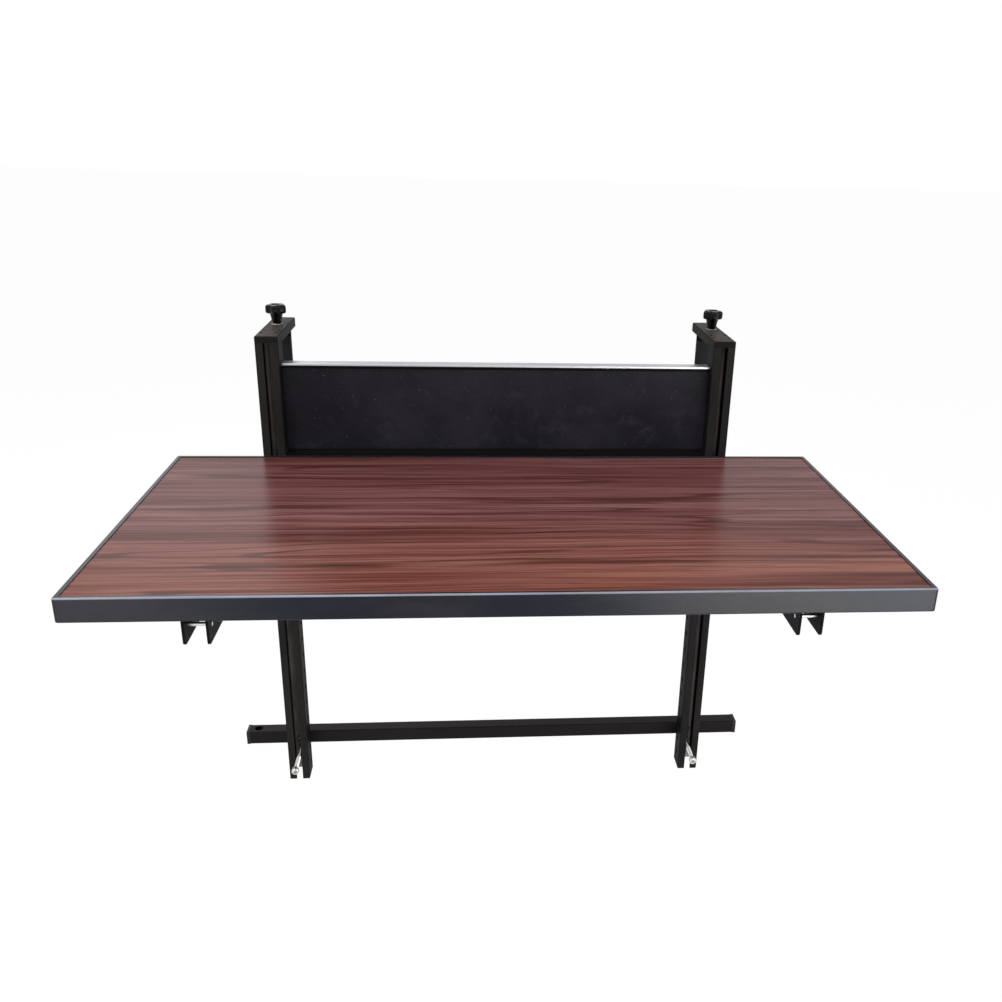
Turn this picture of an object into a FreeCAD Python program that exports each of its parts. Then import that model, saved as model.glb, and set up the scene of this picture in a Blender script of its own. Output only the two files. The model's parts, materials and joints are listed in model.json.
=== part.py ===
import FreeCAD, Part
import math
import os

# Drop-leaf bar table that hangs from two clamped hooks.
# Each hook tops a slotted steel post. A laminated leaf hinges on brackets that slide in the slots,
# and folding props hold it level.
# X runs along the leaf, +Y goes back from the posts under the hooks and +Z is up. Millimetres.
# The origin is midway between the hooks, on the line where the plane that they rest on meets the
# plane that the pads on the posts' backs bear on.

# Leaf
LEAF_LENGTH = 800.0
LEAF_DEPTH = 400.0
LEAF_THICK = 24.0
LEAF_TOP = -137.0
LEAF_GAP = 6.0
LAMINATE_THICK = 1.0
TRIM_WALL = 2.0
TRIM_LIP = 5.0
TRIM_LIP_TOP = 0.8
TRIM_LIP_BOTTOM = 1.0
TRIM_CORNER = 3.0
TRIM_ROUND = 1.5

# Posts
POST_SPACING = 566.0
POST_WIDTH = 28.0
POST_DEPTH = 30.0
POST_WALL = 2.0
POST_SLOT = 8.5
POST_TOP = 4.0
POST_BOTTOM = -628.0
POST_HOLE_PITCH = 25.0
POST_HOLE_RADIUS = 3.0
POST_HOLE_COUNT = 17
POST_HOLE_LOWEST = -610.0
POST_HOLE_SETBACK = 17.0
RAIL_PAD = 2.0

# Hooks and their clamps
HOOK_REACH = 98.0
HOOK_TOP = 12.0
HOOK_SKIRT = 0.3
RAIL_GAP = 80.0
JAW_PLATE = 3.0
JAW_DROP = 52.0
TONGUE_TOP = 9.6
STUD_Y = 47.0
STUD_RADIUS = 3.0
KNOB_RADIUS = 13.4
KNOB_TOP = 37.4
KNOB_HEAD = 10.8
KNOB_LOBES = 5

# Crossbar and levelling screws
BAR_LENGTH = 720.0
BAR_SIZE = 20.0
BAR_WALL = 1.5
BAR_CENTRE_Z = -577.8
BAR_TIE_HOLE_X = -344.0
BAR_TIE_HOLE_RADIUS = 5.5
LEVEL_Z = -594.0
LEVEL_RADIUS = 3.0
LEVEL_HEAD_FRONT = -63.0
LEVEL_HEAD = 6.0
LEVEL_HEAD_RADIUS = 5.0
LEVEL_TIP = 25.0
FOOT_RADIUS = 12.0

# Leaf hinge, arms and props
PIVOT_AHEAD = 15.0
PIVOT_Z = -175.0
PROP_PIVOT_DROP = 110.0
PROP_REACH = 178.0
PROP_TIP_Z = -172.0
PROP_WIDTH = 12.4
PROP_DEPTH = 12.0
PIN_RADIUS = 3.0
RUNNING = 0.05
ARM_WIDTH = 24.0
ARM_WALL = 2.5
ARM_BOTTOM = -188.5
ARM_SETBACK = 6.0
ARM_HEEL = 13.5
ARM_PIN_Y = -419.0
ARM_PIN_Z = -173.0
EAR_SPAN = 18.4
EAR_WALL = 2.5
BRACKET_BASE = 3.0

# Back panel
PANEL_FRONT = -17.0
PANEL_SHEET = 2.0
PANEL_TOP = -25.0
PANEL_LEDGE_TOP = -137.2
PANEL_LIP_BOTTOM = -152.0
PANEL_SIDE_PLAY = 0.3

# Places worked out from the dimensions above
POST_X = POST_SPACING / 2
POST_BACK = -RAIL_PAD
POST_FRONT = POST_BACK - POST_DEPTH
POST_INNER = POST_WIDTH / 2 - POST_WALL
POST_FACE_X = POST_X - POST_WIDTH / 2
HOLE_Y = POST_FRONT + POST_HOLE_SETBACK
LEAF_BACK = POST_FRONT - LEAF_GAP
LEAF_FRONT = LEAF_BACK - LEAF_DEPTH
LEAF_UNDER = LEAF_TOP - LEAF_THICK
PIVOT_Y = POST_FRONT - PIVOT_AHEAD
PROP_PIVOT_Z = PIVOT_Z - PROP_PIVOT_DROP
PROP_TIP_Y = PIVOT_Y - PROP_REACH
PROP_LENGTH = math.hypot(PROP_REACH, PROP_TIP_Z - PROP_PIVOT_Z)
PROP_ANGLE = math.degrees(math.atan2(PROP_TIP_Z - PROP_PIVOT_Z, PROP_REACH))
SIDES = (("left", -1), ("right", 1))


def box(x0, x1, y0, y1, z0, z1):
    """A box between two corners."""
    return Part.makeBox(x1 - x0, y1 - y0, z1 - z0, FreeCAD.Vector(x0, y0, z0))


def wide(cx, width, y0, y1, z0, z1):
    """A box centred on x = cx."""
    return box(cx - width / 2, cx + width / 2, y0, y1, z0, z1)


def rod_x(x0, x1, y, z, radius):
    return Part.makeCylinder(radius, x1 - x0, FreeCAD.Vector(x0, y, z), FreeCAD.Vector(1, 0, 0))


def rod_y(x, y0, y1, z, radius):
    return Part.makeCylinder(radius, y1 - y0, FreeCAD.Vector(x, y0, z), FreeCAD.Vector(0, 1, 0))


def rod_z(x, y, z0, z1, radius):
    return Part.makeCylinder(radius, z1 - z0, FreeCAD.Vector(x, y, z0), FreeCAD.Vector(0, 0, 1))


def hexagon_y(x, y0, y1, z, across_flats):
    """A hexagonal prism along Y, with two corners pointing sideways."""
    corner = across_flats / math.sqrt(3)
    points = []
    for step in range(7):
        turn = math.radians(60 * step)
        points.append(FreeCAD.Vector(x + corner * math.cos(turn), y0, z + corner * math.sin(turn)))
    return Part.Face(Part.makePolygon(points)).extrude(FreeCAD.Vector(0, y1 - y0, 0))


def edges_along(shape, direction, test):
    """The straight edges of a shape that run along a direction and pass a test on their centre."""
    chosen = []
    for edge in shape.Edges:
        if not isinstance(edge.Curve, Part.Line):
            continue
        if edge.tangentAt(edge.FirstParameter).cross(direction).Length > 1e-6:
            continue
        if test(edge.CenterOfMass):
            chosen.append(edge)
    return chosen


ALONG_X = FreeCAD.Vector(1, 0, 0)
ALONG_Y = FreeCAD.Vector(0, 1, 0)
ALONG_Z = FreeCAD.Vector(0, 0, 1)


def cut_all(shape, tools):
    return shape.cut(Part.makeCompound(tools)) if tools else shape


def group(solids):
    return Part.makeCompound(solids)


def solid(shape):
    """The one solid that a boolean left in its compound."""
    if len(shape.Solids) != 1:
        raise ValueError("expected one solid, found %d" % len(shape.Solids))
    return shape.Solids[0].removeSplitter()


# Post: a roll-formed C channel, open at the front, with a row of holes in both side walls
PANEL_SCREW_Y = -10.0
PANEL_SCREW_RADIUS = 2.0
PANEL_SCREW_Z = (-55.0, -112.0)
BAR_BOLT_RADIUS = 3.0
BOLT_PLAY = 0.2
STOP_RIVET_Z = -561.0
STOP_RIVET_RADIUS = 1.6


def stop_rivet_x(cx, side):
    return cx - side * (POST_SLOT / 2 + POST_WIDTH / 2) / 2


def post(cx, side):
    outer_round = 2.0
    inner_round = 0.8
    outside = wide(cx, POST_WIDTH, POST_FRONT, POST_BACK, POST_BOTTOM, POST_TOP)
    outside = outside.makeFillet(outer_round, edges_along(outside, ALONG_Z, lambda c: True))
    inside = wide(cx, 2 * POST_INNER, POST_FRONT + POST_WALL, POST_BACK - POST_WALL,
                  POST_BOTTOM, POST_TOP)
    inside = inside.makeFillet(inner_round, edges_along(inside, ALONG_Z, lambda c: True))
    tools = [inside, wide(cx, POST_SLOT, POST_FRONT, POST_FRONT + POST_WALL, POST_BOTTOM, POST_TOP)]
    for row in range(POST_HOLE_COUNT):
        z = POST_HOLE_LOWEST + row * POST_HOLE_PITCH
        tools.append(rod_x(cx - POST_WIDTH / 2, cx + POST_WIDTH / 2, HOLE_Y, z, POST_HOLE_RADIUS))
    inner_face = cx - side * POST_WIDTH / 2
    for z in PANEL_SCREW_Z:
        ends = sorted((inner_face, inner_face + side * POST_WALL))
        tools.append(rod_x(ends[0], ends[1], PANEL_SCREW_Y, z, PANEL_SCREW_RADIUS))
    tools.append(rod_y(cx, POST_BACK - POST_WALL, POST_BACK, LEVEL_Z, LEVEL_RADIUS + 0.5))
    tools.append(rod_y(cx, POST_BACK - POST_WALL, POST_BACK, BAR_CENTRE_Z,
                       BAR_BOLT_RADIUS + BOLT_PLAY))
    tools.append(rod_y(stop_rivet_x(cx, side), POST_FRONT, POST_FRONT + POST_WALL, STOP_RIVET_Z,
                       STOP_RIVET_RADIUS))
    return solid(cut_all(outside, tools))


def stop_rivets():
    """Dome-head rivets in the inner lips that keep the slide brackets from running out."""
    head_radius = 3.2
    head_height = 1.6
    rivets = []
    for _, side in SIDES:
        x = stop_rivet_x(side * POST_X, side)
        ball_radius = (head_radius ** 2 + head_height ** 2) / (2 * head_height)
        ball = Part.makeSphere(ball_radius,
                               FreeCAD.Vector(x, POST_FRONT - head_height + ball_radius, STOP_RIVET_Z))
        dome = ball.common(rod_y(x, POST_FRONT - head_height, POST_FRONT, STOP_RIVET_Z, head_radius))
        shank = rod_y(x, POST_FRONT, POST_FRONT + POST_WALL + 1.0, STOP_RIVET_Z, STOP_RIVET_RADIUS)
        rivets.append(solid(dome.fuse(shank)))
    return group(rivets)


def post_pad(cx):
    """Rubber pad on the back of a post, below its hook."""
    pad = wide(cx, 22.0, POST_BACK, 0.0, -62.0, -6.0)
    return pad.makeFillet(3.0, edges_along(pad, ALONG_Y, lambda c: True))


# Hook arm: an upturned tray welded on the post's top end, which reaches back from it
HOOK_WALL = 2.0
HOOK_HOLE_RADIUS = 2.3
HOOK_HOLE_X = 9.6
HOOK_HOLE_Y = (-9.0, 8.0)


def hook_arm(cx):
    outer_round = 1.9
    arm = wide(cx, POST_WIDTH, POST_FRONT, HOOK_REACH, HOOK_SKIRT, HOOK_TOP)
    top_edges = edges_along(arm, ALONG_Y, lambda c: c.z > HOOK_TOP - 1)
    front_edges = edges_along(arm, ALONG_Z, lambda c: c.y < POST_FRONT + 1)
    front_top = edges_along(arm, ALONG_X, lambda c: c.y < POST_FRONT + 1 and c.z > HOOK_TOP - 1)
    arm = arm.makeFillet(outer_round, top_edges + front_edges + front_top)
    tools = [
        wide(cx, POST_WIDTH - 2 * HOOK_WALL, POST_FRONT + HOOK_WALL, HOOK_REACH,
             HOOK_SKIRT, HOOK_TOP - HOOK_WALL),
        wide(cx, POST_WIDTH, POST_FRONT, POST_BACK, HOOK_SKIRT, POST_TOP),
        rod_z(cx, STUD_Y, HOOK_TOP - HOOK_WALL, HOOK_TOP, STUD_RADIUS + 0.3),
    ]
    for y in HOOK_HOLE_Y:
        for offset in (-HOOK_HOLE_X, HOOK_HOLE_X):
            tools.append(rod_z(cx + offset, y, HOOK_TOP - HOOK_WALL, HOOK_TOP, HOOK_HOLE_RADIUS))
    return solid(cut_all(arm, tools))


def hook_pad(cx):
    """Rubber block between the hook's walls, which the table hangs on."""
    return wide(cx, POST_WIDTH - 2 * HOOK_WALL, 12.0, 32.0, 0.0, 6.2)


# Rear jaw: a bent strap whose slotted tongue slides under the hook's top plate
TONGUE_WIDTH = 18.0
TONGUE_FRONT = -3.5
TONGUE_SLOT = (23.0, 76.0)
JAW_WIDTH = 20.0


def rear_jaw(cx):
    leg_front = RAIL_GAP + JAW_PLATE
    leg_back = leg_front + JAW_PLATE
    tongue = wide(cx, TONGUE_WIDTH, TONGUE_FRONT, leg_back, TONGUE_TOP - JAW_PLATE, TONGUE_TOP)
    leg = wide(cx, JAW_WIDTH, leg_front, leg_back, -JAW_DROP, TONGUE_TOP)
    leg = leg.makeFillet(4.0, edges_along(leg, ALONG_Y, lambda c: c.z < 0))
    strap = tongue.fuse(leg).removeSplitter()
    outer_bend = edges_along(strap, ALONG_X, lambda c: c.z > TONGUE_TOP - 0.1 and c.y > leg_back - 0.1)
    strap = strap.makeFillet(2.0, outer_bend)
    half_slot = STUD_RADIUS + 0.3
    slot_start = TONGUE_SLOT[0] + half_slot
    slot_end = TONGUE_SLOT[1] - half_slot
    low = TONGUE_TOP - JAW_PLATE
    tools = [
        wide(cx, 2 * half_slot, slot_start, slot_end, low, TONGUE_TOP),
        rod_z(cx, slot_start, low, TONGUE_TOP, half_slot),
        rod_z(cx, slot_end, low, TONGUE_TOP, half_slot),
    ]
    return solid(strap.cut(tools[0]).cut(tools[1]).cut(tools[2]))


def jaw_pad(cx):
    """Rubber pad on the front of the jaw's leg, which clamps against the pad on the post."""
    pad = wide(cx, JAW_WIDTH, RAIL_GAP, RAIL_GAP + JAW_PLATE, -46.0, -10.0)
    return pad.makeFillet(2.5, edges_along(pad, ALONG_Y, lambda c: True))


# Clamp: a star knob on a stud that pulls a plate nut up under the tongue
# The nut fills the tray's width, so it can't turn.
WASHER_THICK = 1.4
KNOB_PLAY = 0.2
KNOB_BORE_TOP = 32.5
CLAMP_NUT_TOP = 6.4
CLAMP_NUT_THICK = 3.2


def clamp_knob(cx):
    hub_bottom = HOOK_TOP + WASHER_THICK + KNOB_PLAY
    head_bottom = KNOB_TOP - KNOB_HEAD
    hub_radius = 6.0
    neck_radius = 8.4
    lobe_radius = 4.7
    core_radius = 10.1
    rim_round = 1.5
    sunk_radius = 4.5
    sunk_depth = 1.5
    head = rod_z(cx, STUD_Y, head_bottom, KNOB_TOP, core_radius)
    lobe_ring = KNOB_RADIUS - lobe_radius
    for lobe in range(KNOB_LOBES):
        turn = math.radians(-90 + 360 / KNOB_LOBES * lobe)
        x = cx + lobe_ring * math.cos(turn)
        y = STUD_Y + lobe_ring * math.sin(turn)
        head = head.fuse(rod_z(x, y, head_bottom, KNOB_TOP, lobe_radius))
    head = head.removeSplitter()
    rims = [edge for edge in head.Edges if abs(edge.CenterOfMass.z - KNOB_TOP) < 0.01]
    head = head.makeFillet(rim_round, rims)
    hub = Part.makeCone(hub_radius, neck_radius, head_bottom - hub_bottom,
                        FreeCAD.Vector(cx, STUD_Y, hub_bottom))
    knob = head.fuse(hub)
    knob = knob.cut(rod_z(cx, STUD_Y, KNOB_TOP - sunk_depth, KNOB_TOP, sunk_radius))
    knob = knob.cut(rod_z(cx, STUD_Y, hub_bottom, KNOB_BORE_TOP, STUD_RADIUS))
    return solid(knob)


def clamp_stud(cx):
    return rod_z(cx, STUD_Y, 0.8, KNOB_BORE_TOP, STUD_RADIUS)


def clamp_washers():
    washers = []
    for _, side in SIDES:
        disc = rod_z(side * POST_X, STUD_Y, HOOK_TOP, HOOK_TOP + WASHER_THICK, 7.0)
        hole = rod_z(side * POST_X, STUD_Y, HOOK_TOP, HOOK_TOP + WASHER_THICK, STUD_RADIUS + 0.3)
        washers.append(solid(disc.cut(hole)))
    return group(washers)


def clamp_nut(cx):
    low = CLAMP_NUT_TOP - CLAMP_NUT_THICK
    nut = wide(cx, 23.0, STUD_Y - 8.0, STUD_Y + 8.0, low, CLAMP_NUT_TOP)
    return solid(nut.cut(rod_z(cx, STUD_Y, low, CLAMP_NUT_TOP, STUD_RADIUS + RUNNING)))


# Crossbar: a square tube that ties the posts' feet together and overhangs both
BAR_CAP = 5.0


def crossbar():
    back = POST_BACK + BAR_SIZE
    low = BAR_CENTRE_Z - BAR_SIZE / 2
    high = BAR_CENTRE_Z + BAR_SIZE / 2
    half = BAR_LENGTH / 2 - BAR_CAP
    tube = box(-half, half, POST_BACK, back, low, high)
    tube = tube.makeFillet(2.0, edges_along(tube, ALONG_X, lambda c: True))
    tools = [box(-half, half, POST_BACK + BAR_WALL, back - BAR_WALL, low + BAR_WALL, high - BAR_WALL)]
    tools.append(rod_z(BAR_TIE_HOLE_X, (POST_BACK + back) / 2, low, high, BAR_TIE_HOLE_RADIUS))
    for _, side in SIDES:
        tools.append(rod_y(side * POST_X, POST_BACK, back, BAR_CENTRE_Z, BAR_BOLT_RADIUS + BOLT_PLAY))
    for tool in tools:
        tube = tube.cut(tool)
    return solid(tube)


def crossbar_end_cap(side):
    """Moulded cap with a short plug inside the tube."""
    plug = 3.5
    back = POST_BACK + BAR_SIZE
    low = BAR_CENTRE_Z - BAR_SIZE / 2
    high = BAR_CENTRE_Z + BAR_SIZE / 2
    half = BAR_LENGTH / 2
    head = box(half - BAR_CAP, half, POST_BACK, back, low, high)
    head = head.makeFillet(2.0, edges_along(head, ALONG_X, lambda c: True))
    outer = [edge for edge in head.Edges if abs(edge.CenterOfMass.x - half) < 0.01]
    head = head.makeFillet(1.2, outer)
    inner = box(half - BAR_CAP - plug, half - BAR_CAP, POST_BACK + BAR_WALL, back - BAR_WALL,
                low + BAR_WALL, high - BAR_WALL)
    cap = solid(head.fuse(inner))
    if side < 0:
        cap = cap.mirror(FreeCAD.Vector(0, 0, 0), ALONG_X)
    return cap


def crossbar_bolts():
    """Cap screws from inside each post, through its web and the tube."""
    head = 4.0
    web_front = POST_BACK - POST_WALL
    bolts = []
    for _, side in SIDES:
        x = side * POST_X
        bolt = rod_y(x, web_front - head, web_front, BAR_CENTRE_Z, 5.0)
        bolt = bolt.fuse(rod_y(x, web_front, POST_BACK + BAR_SIZE + 6.5, BAR_CENTRE_Z, BAR_BOLT_RADIUS))
        bolt = bolt.cut(hexagon_y(x, web_front - head, web_front - head + 2.5, BAR_CENTRE_Z, 4.0))
        bolts.append(solid(bolt))
    return group(bolts)


def crossbar_nuts():
    """A washer and a hexagon nut behind the tube on each bolt."""
    back = POST_BACK + BAR_SIZE
    pieces = []
    for _, side in SIDES:
        x = side * POST_X
        hole = rod_y(x, back, back + 6.2, BAR_CENTRE_Z, BAR_BOLT_RADIUS)
        pieces.append(solid(rod_y(x, back, back + 1.2, BAR_CENTRE_Z, 6.0).cut(hole)))
        pieces.append(solid(hexagon_y(x, back + 1.2, back + 6.0, BAR_CENTRE_Z, 10.0).cut(hole)))
    return group(pieces)


# Levelling: a long cap screw in a nut welded to the post's web, with a padded foot on its tip
WELD_NUT_THICK = 5.0
WELD_NUT_FLATS = 10.0
FOOT_HUB_RADIUS = 5.5
FOOT_TIP_GAP = 0.3
FOOT_FRONT = 19.0
FOOT_DISC = 26.0
FOOT_SOLE = 29.0
FOOT_BACK = 33.0


def levelling_nut(cx):
    back = POST_BACK - POST_WALL
    front = back - WELD_NUT_THICK
    nut = hexagon_y(cx, front, back, LEVEL_Z, WELD_NUT_FLATS)
    return solid(nut.cut(rod_y(cx, front, back, LEVEL_Z, LEVEL_RADIUS + RUNNING)))


def levelling_screw(cx):
    head_back = LEVEL_HEAD_FRONT + LEVEL_HEAD
    head = rod_y(cx, LEVEL_HEAD_FRONT, head_back, LEVEL_Z, LEVEL_HEAD_RADIUS)
    rim = [edge for edge in head.Edges if abs(edge.CenterOfMass.y - LEVEL_HEAD_FRONT) < 0.01]
    head = head.makeFillet(0.6, rim)
    screw = head.fuse(rod_y(cx, head_back, LEVEL_TIP, LEVEL_Z, LEVEL_RADIUS))
    socket = hexagon_y(cx, LEVEL_HEAD_FRONT, LEVEL_HEAD_FRONT + 3.5, LEVEL_Z, 5.0)
    return solid(screw.cut(socket))


def levelling_foot(cx):
    """Nylon foot that the screw's tip turns in."""
    hub = rod_y(cx, FOOT_FRONT, FOOT_DISC, LEVEL_Z, FOOT_HUB_RADIUS)
    foot = hub.fuse(rod_y(cx, FOOT_DISC, FOOT_SOLE, LEVEL_Z, FOOT_RADIUS))
    tip_hole = rod_y(cx, FOOT_FRONT, LEVEL_TIP + FOOT_TIP_GAP, LEVEL_Z, LEVEL_RADIUS + RUNNING)
    return solid(foot.cut(tip_hole))


def foot_sole(cx):
    sole = rod_y(cx, FOOT_SOLE, FOOT_BACK, LEVEL_Z, FOOT_RADIUS)
    rim = [edge for edge in sole.Edges if abs(edge.CenterOfMass.y - FOOT_BACK) < 0.01]
    return sole.makeFillet(1.5, rim)


# Back panel: a folded sheet that fills the space between the posts above the leaf
def back_panel():
    half = POST_FACE_X - PANEL_SIDE_PLAY
    sheet_back = PANEL_FRONT + PANEL_SHEET
    low = PANEL_LEDGE_TOP - PANEL_SHEET
    sheet = box(-half, half, PANEL_FRONT, sheet_back, low, PANEL_TOP)
    ledge = box(-half, half, POST_FRONT + 2.0, sheet_back, low, PANEL_LEDGE_TOP)
    hem = box(-half, half, sheet_back, sheet_back + PANEL_SHEET, PANEL_TOP - 13.0, PANEL_TOP)
    lip = box(-half, half, POST_FRONT + 2.0, POST_FRONT + 2.0 + PANEL_SHEET, PANEL_LIP_BOTTOM, low)
    panel = sheet.fuse([ledge, lip, hem])
    for _, side in SIDES:
        ends = sorted((side * (half - PANEL_SHEET), side * half))
        panel = panel.fuse(box(ends[0], ends[1], PANEL_FRONT, -5.0, low + 4.0, PANEL_TOP - 8.0))
        for z in PANEL_SCREW_Z:
            panel = panel.cut(rod_x(ends[0], ends[1], PANEL_SCREW_Y, z, PANEL_SCREW_RADIUS))
    return solid(panel)


def panel_top_trim():
    """Bright extruded cap over the panel's top edge."""
    half = POST_FACE_X - PANEL_SIDE_PLAY
    wall = 1.4
    front = PANEL_FRONT - 2.5
    back = PANEL_FRONT + 13.0
    top = PANEL_TOP + wall
    trim = box(-half, half, front, back, PANEL_TOP, top)
    trim = trim.fuse(box(-half, half, front, front + wall, PANEL_TOP - 2.8, PANEL_TOP))
    trim = trim.fuse(box(-half, half, back - wall, back, PANEL_TOP - 6.0, PANEL_TOP))
    trim = trim.removeSplitter()
    return trim.makeFillet(0.6, edges_along(trim, ALONG_X, lambda c: c.z > top - 0.1))


def panel_screws():
    """Screws from the panel's folded ends into the posts' inner walls."""
    head = 2.2
    length = 8.0
    face = POST_FACE_X - PANEL_SIDE_PLAY - PANEL_SHEET
    screws = []
    for _, side in SIDES:
        for z in PANEL_SCREW_Z:
            ends = sorted((side * (face - head), side * face))
            shank = sorted((side * face, side * (face + length)))
            screw = rod_x(ends[0], ends[1], PANEL_SCREW_Y, z, 3.6)
            screw = screw.fuse(rod_x(shank[0], shank[1], PANEL_SCREW_Y, z, PANEL_SCREW_RADIUS))
            screws.append(solid(screw))
    return group(screws)


# Slide bracket: a U-shaped bracket clamped to the slot, with ears for the hinge and the prop
EAR_ROUND = 10.0
BRACKET_BOLT_Z = (-208.0, -252.0)
BRACKET_BOLT_RADIUS = 3.0


def slide_bracket(cx):
    top = PIVOT_Z + EAR_ROUND
    low = PROP_PIVOT_Z - EAR_ROUND
    base_front = POST_FRONT - BRACKET_BASE
    bracket = wide(cx, EAR_SPAN, base_front, POST_FRONT, low, top)
    for offset in (-1, 1):
        ends = sorted((cx + offset * EAR_SPAN / 2, cx + offset * (EAR_SPAN / 2 - EAR_WALL)))
        ear = box(ends[0], ends[1], PIVOT_Y, base_front, low, top)
        ear = ear.fuse(rod_x(ends[0], ends[1], PIVOT_Y, PIVOT_Z, EAR_ROUND))
        ear = ear.fuse(rod_x(ends[0], ends[1], PIVOT_Y, PROP_PIVOT_Z, EAR_ROUND))
        bracket = bracket.fuse(ear)
    half = EAR_SPAN / 2
    for z in (PIVOT_Z, PROP_PIVOT_Z):
        bracket = bracket.cut(rod_x(cx - half, cx + half, PIVOT_Y, z, PIN_RADIUS))
    for z in BRACKET_BOLT_Z:
        bracket = bracket.cut(rod_y(cx, base_front, POST_FRONT, z, BRACKET_BOLT_RADIUS + BOLT_PLAY))
    return solid(bracket)


def slide_nut(cx):
    """Nut bar that runs inside the post, behind the slot's lips."""
    front = POST_FRONT + POST_WALL + 0.2
    back = front + 5.0
    bar = wide(cx, 2 * POST_INNER - 2.0, front, back, BRACKET_BOLT_Z[1] - 14.0, BRACKET_BOLT_Z[0] + 14.0)
    for z in BRACKET_BOLT_Z:
        bar = bar.cut(rod_y(cx, front, back, z, BRACKET_BOLT_RADIUS))
    return solid(bar)


def slide_bolts():
    """Button-head bolts that clamp the brackets against the posts' lips."""
    base_front = POST_FRONT - BRACKET_BASE
    bolts = []
    for _, side in SIDES:
        for z in BRACKET_BOLT_Z:
            x = side * POST_X
            head = rod_y(x, base_front - 3.3, base_front, z, 5.25)
            rim = [edge for edge in head.Edges if abs(edge.CenterOfMass.y - base_front + 3.3) < 0.01]
            head = head.makeFillet(2.2, rim)
            bolt = head.fuse(rod_y(x, base_front, POST_FRONT + 11.0, z, BRACKET_BOLT_RADIUS))
            bolts.append(solid(bolt.cut(hexagon_y(x, base_front - 3.3, base_front - 1.3, z, 4.0))))
    return group(bolts)


def hinge_pin(cx):
    """Headed pin through the bracket's ears and the arm's walls, with a retaining ring."""
    reach = ARM_WIDTH / 2 + 0.2
    head = 2.0
    pin = rod_x(cx - reach - head, cx + reach + head, PIVOT_Y, PIVOT_Z, PIN_RADIUS)
    pin = pin.fuse(rod_x(cx - reach - head, cx - reach, PIVOT_Y, PIVOT_Z, 5.0))
    pin = pin.fuse(rod_x(cx + reach, cx + reach + 1.2, PIVOT_Y, PIVOT_Z, 4.8))
    return solid(pin)


def prop_pivot_pins():
    half = EAR_SPAN / 2
    pins = []
    for _, side in SIDES:
        x = side * POST_X
        pins.append(rod_x(x - half, x + half, PIVOT_Y, PROP_PIVOT_Z, PIN_RADIUS))
    return group(pins)


# Prop: a folded channel that swings on the bracket and holds the arm up near its middle
PROP_WALL = 2.0
PROP_HEEL = 7.0
PROP_NOSE = 6.0


def prop(cx):
    half = PROP_WIDTH / 2
    tip = PIVOT_Y - PROP_LENGTH
    bar = wide(cx, PROP_WIDTH, tip, PIVOT_Y, PROP_PIVOT_Z - PROP_DEPTH / 2, PROP_PIVOT_Z + PROP_DEPTH / 2)
    bar = bar.fuse(rod_x(cx - half, cx + half, PIVOT_Y, PROP_PIVOT_Z, PROP_HEEL))
    bar = bar.fuse(rod_x(cx - half, cx + half, tip, PROP_PIVOT_Z, PROP_NOSE))
    hollow = wide(cx, PROP_WIDTH - 2 * PROP_WALL, tip + 12.0, PIVOT_Y - 12.0,
                  PROP_PIVOT_Z - PROP_DEPTH / 2, PROP_PIVOT_Z + PROP_DEPTH / 2 - PROP_WALL)
    bar = bar.cut(hollow)
    bar = bar.cut(rod_x(cx - half, cx + half, PIVOT_Y, PROP_PIVOT_Z, PIN_RADIUS + RUNNING))
    bar = bar.cut(rod_x(cx - half, cx + half, tip, PROP_PIVOT_Z, PIN_RADIUS))
    bar = solid(bar)
    bar.rotate(FreeCAD.Vector(cx, PIVOT_Y, PROP_PIVOT_Z), ALONG_X, -PROP_ANGLE)
    return bar


def prop_tip_pin(cx):
    """Cross pin at the prop's tip, in line with the notches in the arm's walls."""
    return rod_x(cx - 9.0, cx + 9.0, PROP_TIP_Y, PROP_TIP_Z, PIN_RADIUS)


# Arm: an upturned channel under the leaf, with a notched track in both walls for the prop
TRACK_Z = -175.5
TRACK_HALF = 3.3
TRACK_FRONT = -370.0
ARM_SCREW_Y = (-80.0, -180.0, -300.0, -400.0)
ARM_SCREW_RADIUS = 1.8
ARM_SCREW_TOP = -147.0
ARM_PIN_RADIUS = 2.0


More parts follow.
